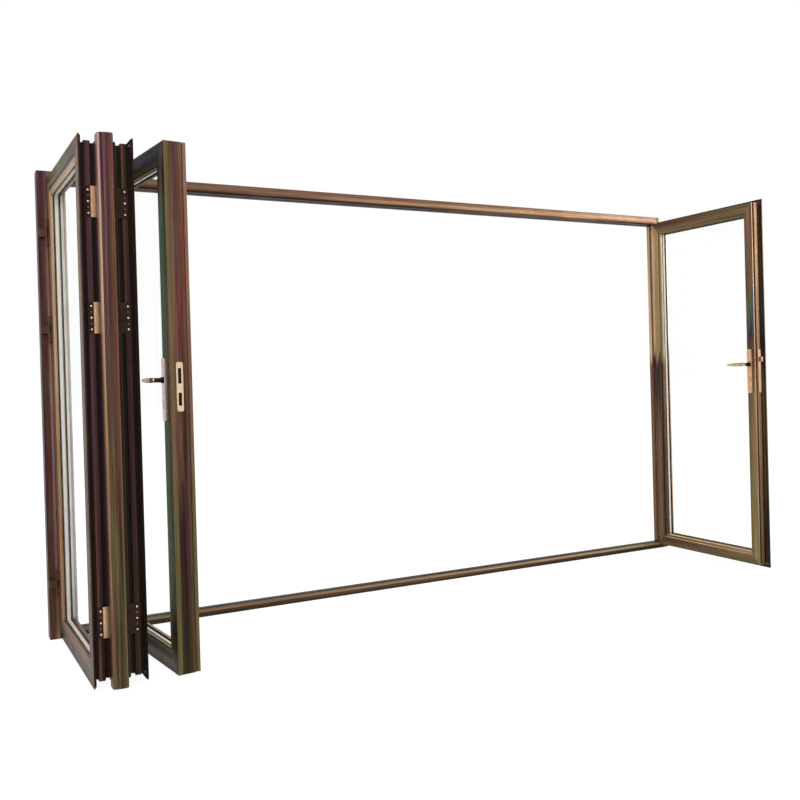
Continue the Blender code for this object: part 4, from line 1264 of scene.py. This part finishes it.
    def access_leaf(self) -> None:
        """Painted reflections: warm browns with a dusky stretch above the handle, and a tan edge beside the lock.
        """
        self.bar(4, "left_stile", outside=strips((OLIVE, BARK), (BARK, CLAY)),
                 room=strips((BARK, BRASS, OLIVE), (BRASS, BARK, OLIVE), (PLUM, UMBER, UMBER),
                             (DUSK, VIOLET, UMBER), (DUSK, MOSS, BARK), (OLIVE, BARK, UMBER), (UMBER, CLAY, BARK),
                             levels=(0, 0.47, 0.6, 0.63, 0.7, 0.78, 1)),
                 before=strips((LODEN, UMBER, UMBER, OLIVE, BRASS), (BARK, CLAY, CLAY, COPPER, TAN),
                               (COPPER, CLAY, COPPER, COPPER, TAN)),
                 after=strips((BRASS, CREAM), (CREAM, TAN)))
        # Above these levels the right stile is painted pale, its return near-white: a painted highlight.
        highlight_levels = (0, 0.3, 0.56, 0.61, 1)
        self.bar(4, "right_stile", outside=strips((BRASS, BARK), (TAN, COPPER)),
                 room=strips((UMBER, OLIVE, UMBER), (UMBER, BARK, UMBER), (NIGHT, LODEN, MULBERRY),
                             (BRASS, BRASS, TAN), (BRASS, COPPER, TAN), levels=highlight_levels),
                 before=strips((COPPER, BARK, UMBER), (TAN, CLAY, UMBER), (TAN, CLAY, BARK),
                               (GLARE, GLARE, BRASS), (GLARE, GLARE, BRASS), levels=highlight_levels),
                 after=strips((NIGHT, UMBER)))
        self.bar(4, "top_rail", outside=strips((BARK, COPPER)),
                 room=strips((OLIVE, BARK, OLIVE, UMBER), (BRASS, BARK, UMBER, BARK)),
                 before=strips((OLIVE, BARK)), after=strips((UMBER, BARK)))
        self.bar(4, "bottom_rail", outside=strips((BARK, COPPER)),
                 room=strips((UMBER, OLIVE, BARK, BRASS), (OLIVE, BARK, UMBER, OLIVE)),
                 before=strips((NIGHT, INK)), after=strips((BRASS, TAN), (COPPER, TAN)))

    def outer_frame(self) -> None:
        """Dress the head, sill and jambs, and the fold post."""
        half = CAD_BOX[1].x
        body = {"depth": (-0.040, 0.040)}
        highlight_levels = (0, 0.3, 0.56, 0.6, 1)
        looks = {
            # The head's underside strips are painted dark: painted shade under the head.
            "frame_head": AnodisedBronze(
                run=Run.LEVEL, across=(2.050, 2.100), along=(-half, half), seed=3.1, **body,
                outside=strips((SOOT, UMBER, BARK, OLIVE), (NIGHT, BARK, CLAY, BARK),
                               (NIGHT, COPPER, CLAY, BARK), (UMBER, COPPER, COPPER, BARK),
                               (NIGHT, COPPER, BLUSH, COPPER),
                               levels=(0, 0.3, 0.5, 0.75, 1)),
                room=strips((UMBER, BARK)), before=strips((INK, SOOT, UMBER), (SOOT, MAROON, UMBER)),
                after=strips((UMBER, BARK))),
            "frame_sill": AnodisedBronze(
                run=Run.LEVEL, across=(0.0, 0.032), along=(-half, half), seed=5.3, **body,
                outside=strips((LODEN, NIGHT, UMBER), (LODEN, UMBER, OLIVE), (NIGHT, LODEN, OLIVE)),
                room=strips((UMBER, NIGHT)), before=strips((INK, NIGHT)),
                after=strips((BRASS, LODEN, LODEN, NIGHT, LODEN, UMBER),
                             (COPPER, LODEN, LODEN, NIGHT, LODEN, UMBER), (TAN, UMBER, LODEN, INK, LODEN, BARK),
                             (TAN, BRASS, OLIVE, NIGHT, OLIVE, BARK))),
            "frame_jamb_left": AnodisedBronze(
                across=(-half, -half + 0.040), along=(0.0, 2.1), seed=7.7, **body,
                outside=strips((UMBER, MAROON, UMBER, CLAY), (MULBERRY, MAROON, PLUM, ROSE),
                               (PLUM, UMBER, MAROON, ROSE), (MULBERRY, PLUM, UMBER, CLAY),
                               (PLUM, SOOT, MULBERRY, PLUM), levels=(0, 0.3, 0.6, 0.85, 1)),
                room=strips((NIGHT, UMBER)), before=strips((MAROON, PLUM), (UMBER, PLUM), (NIGHT, PLUM)),
                after=strips((UMBER, BARK), (BARK, BRASS))),
            # Above the highlight levels the right jamb is painted cream: a painted highlight.
            "frame_jamb_right": AnodisedBronze(
                across=(half - 0.050, half), along=(0.0, 2.1), seed=9.2, **body,
                outside=strips((OLIVE, UMBER, ROSE), (CLAY, UMBER, BARK), (MAROON, NIGHT, UMBER),
                               (TAN, BRASS, CREAM), (COPPER, BARK, CREAM), levels=highlight_levels),
                room=strips((UMBER, BARK)),
                before=strips((BARK, COPPER, BARK), (CLAY, ROSE, BARK), (CLAY, WINE, BARK),
                              (CREAM, CREAM, TAN), (TAN, CREAM, COPPER), levels=highlight_levels),
                after=strips((UMBER, BARK))),
        }
        for name, finish in looks.items():
            dress(name, replace(finish, name=f"bronze_{name}"))
        # The fold post's left side is painted pale towards the top: a painted highlight.
        low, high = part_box("fold_post")
        dress("fold_post", AnodisedBronze(
            name="bronze_fold_post", across=(low.x, high.x), depth=(low.y, high.y), along=(low.z, high.z),
            seed=12.4,
            outside=strips((BARK, OLIVE, LODEN, UMBER, OLIVE, LODEN),
                           (BARK, OLIVE, UMBER, LODEN, OLIVE, NIGHT),
                           (CLAY, PLUM, UMBER, MAROON, BARK, NIGHT),
                           (CLAY, PLUM, MULBERRY, MAROON, BARK, NIGHT),
                           (ROSE, PLUM, MULBERRY, WINE, BARK, NIGHT)),
            before=strips((BARK, UMBER), (COPPER, BARK), (BLUSH, ROSE)),
            after=strips((NIGHT, UMBER, OLIVE)), room=strips((NIGHT, PLUM))))

    def hardware(self) -> None:
        """Dress hinges, carriers, plates and levers."""
        hinge = SatinMetal(name="bronze_hinge", slot="bronze_aluminium", colour=NIGHT, shade=PLUM,
                           roughness=0.4)
        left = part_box("fold_post")[0].x
        fold = SatinMetal(name="fold_hinge_metal", colour=tint(0xE8C09A), shade=COPPER, beyond=NIGHT,
                          zone=(left - 0.006, 0.016))
        quiet = AnodisedBronze(name="bronze_left_hinge", outside=strips((UMBER, MULBERRY)),
                               before=strips((UMBER,)), after=strips((BARK,)), room=strips((UMBER,)), seed=41.0)
        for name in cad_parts:
            if name.startswith("jamb_hinge_left"):
                dress(name, quiet)
            elif name.startswith(("jamb_hinge", "track_hinge")):
                dress(name, hinge)
            elif name.startswith("fold_hinge"):
                dress(name, fold)
            elif name.startswith(("top_carrier", "bottom_guide", "lock_faceplate")):
                dress(name, HARDWARE)
        dress("keep_plate", SatinMetal(name="keep_metal", colour=tint(0xEFDCB4), shade=tint(0xCDB084)))
        pale = SatinMetal(name="pale_backplate", colour=tint(0xE6D2CC), shade=tint(0xC6A89C))
        warm = SatinMetal(name="warm_backplate", colour=tint(0xE2B48E), shade=tint(0xC48C64))
        dress("leaf_3_outside_backplate", pale)
        dress("leaf_4_inside_backplate", warm)
        dress("leaf_4_outside_backplate", warm)
        for number, name in ((3, "leaf_3_outside_lever"), (4, "leaf_4_inside_lever")):
            lever = SatinMetal(name=f"{name}_metal", colour=NIGHT, shade=INK, beyond=tint(0xD8BC96), axis=1,
                               zone=(SECTION.depth / 2, SECTION.depth / 2 + 0.044), run=Run.LEVEL)
            dress(name, self.leaves[number].own(lever))

    def build(self) -> None:
        """Dress every node."""
        self.first_leaf()
        self.second_leaf()
        self.third_leaf()
        self.access_leaf()
        self.outer_frame()
        self.hardware()


@dataclass
class Studio:
    """Camera, floor, world and lamps."""

    focal_px: float = 938.69
    centre_px: Point2 = (489.60, 379.27)
    picture_px: float = 800.0
    sensor: float = 36.0
    position: Colour = (-2.1815, -4.6648, 1.1506)
    yaw: float = 30.185
    pitch: float = -0.491
    roll: float = -1.530
    floor_size: float = 40.0
    floor_drop: float = 0.0005
    light_share: float = 0.55
    gloss_above: float = 0.55

    def camera(self) -> None:
        """Stand the camera where the photograph was taken."""
        yaw, pitch, roll = (math.radians(value) for value in (self.yaw, self.pitch, self.roll))
        ahead = Vector((math.sin(yaw) * math.cos(pitch), math.cos(yaw) * math.cos(pitch), math.sin(pitch)))
        level = Vector((math.cos(yaw), -math.sin(yaw), 0.0))
        upward = level.cross(ahead)
        right = math.cos(roll) * level + math.sin(roll) * upward
        above = math.cos(roll) * upward - math.sin(roll) * level
        lens = bpy.data.cameras.new("camera")
        lens.sensor_width = self.sensor
        lens.lens = self.focal_px * self.sensor / self.picture_px
        lens.shift_x = (self.picture_px / 2 - self.centre_px[0]) / self.picture_px
        lens.shift_y = (self.centre_px[1] - self.picture_px / 2) / self.picture_px
        holder = bpy.data.objects.new("camera", lens)
        bpy.context.scene.collection.objects.link(holder)
        turn = Matrix((right, above, -ahead)).transposed().to_4x4()
        holder.matrix_world = Matrix.Translation(self.position) @ turn
        bpy.context.scene.camera = holder

    def floor(self) -> None:
        """Lay the plain pale floor."""
        shape = bmesh.new()
        bmesh.ops.create_grid(shape, x_segments=1, y_segments=1, size=self.floor_size)
        mesh = bpy.data.meshes.new("floor")
        shape.to_mesh(mesh)
        shape.free()
        mesh.materials.append(FloorPaint(name="pale_floor").material())
        floor = bpy.data.objects.new("floor", mesh)
        bpy.context.scene.collection.objects.link(floor)
        mesh.transform(Matrix.Translation((0, 0, -self.floor_drop)))

    def world(self) -> None:
        """White surroundings: full to the eye and through glass, dimmer high up in gloss, less as light."""
        world = bpy.data.worlds.new("studio")
        bpy.context.scene.world = world
        world.use_nodes = True
        graph = Graph(world.node_tree)
        path = graph.add("ShaderNodeLightPath")
        seen = graph.maths("MAXIMUM", path.outputs["Is Camera Ray"], path.outputs["Is Transmission Ray"])
        up = graph.split(graph.add("ShaderNodeTexCoord").outputs["Generated"])
        sky = graph.spread(up["Z"], 0.05, 0.9, 1.0, self.gloss_above)
        glossy = graph.maths("MULTIPLY", path.outputs["Is Glossy Ray"], sky)
        strength = graph.maths("MAXIMUM", graph.maths("MAXIMUM", seen, glossy), self.light_share)
        light = graph.add("ShaderNodeBackground", {"Color": (1.0, 1.0, 1.0), "Strength": strength})
        output = graph.add("ShaderNodeOutputWorld")
        graph.put(output.inputs["Surface"], light.outputs[0])

    def lamp(self, name: str, place: Colour, aim: Colour, size: float, watts: float) -> None:
        """Hang a soft square lamp.

        Args:
            name: its name.
            place: where it hangs.
            aim: the point that it faces.
            size: its side.
            watts: its power.
        """
        data = bpy.data.lights.new(name, "AREA")
        data.size = size
        data.energy = watts
        holder = bpy.data.objects.new(name, data)
        bpy.context.scene.collection.objects.link(holder)
        way = Vector(aim) - Vector(place)
        holder.matrix_world = Matrix.Translation(place) @ way.to_track_quat("-Z", "Y").to_matrix().to_4x4()

    def build(self) -> None:
        """Build the studio."""
        self.camera()
        self.floor()
        self.world()
        middle = (0.0, 0.0, 1.0)
        self.lamp("key", (-3.5, -5.0, 4.5), middle, 2.5, 120.0)
        self.lamp("fill", (4.5, -4.0, 3.0), middle, 3.0, 60.0)
        self.lamp("back", (0.5, 5.0, 3.5), middle, 3.0, 60.0)
        bpy.context.scene.view_settings.view_transform = "Standard"


def main() -> None:
    """Build the studio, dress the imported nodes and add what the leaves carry."""
    logging.basicConfig(level=logging.INFO, format="%(message)s")
    Studio().build()
    leaves = {place.number: place for place in (LeafPlace(1, -1), LeafPlace(2, 1), LeafPlace(3, -1),
                                                LeafPlace(4, 1, "access_leaf"))}
    Dressing(leaves).build()
    for place in leaves.values():
        GlazedLeaf(place).build()
    PostShoulder().build()
    StopGaskets().build()
    Fastenings(leaves).build()


if __name__ == "__main__":
    main()
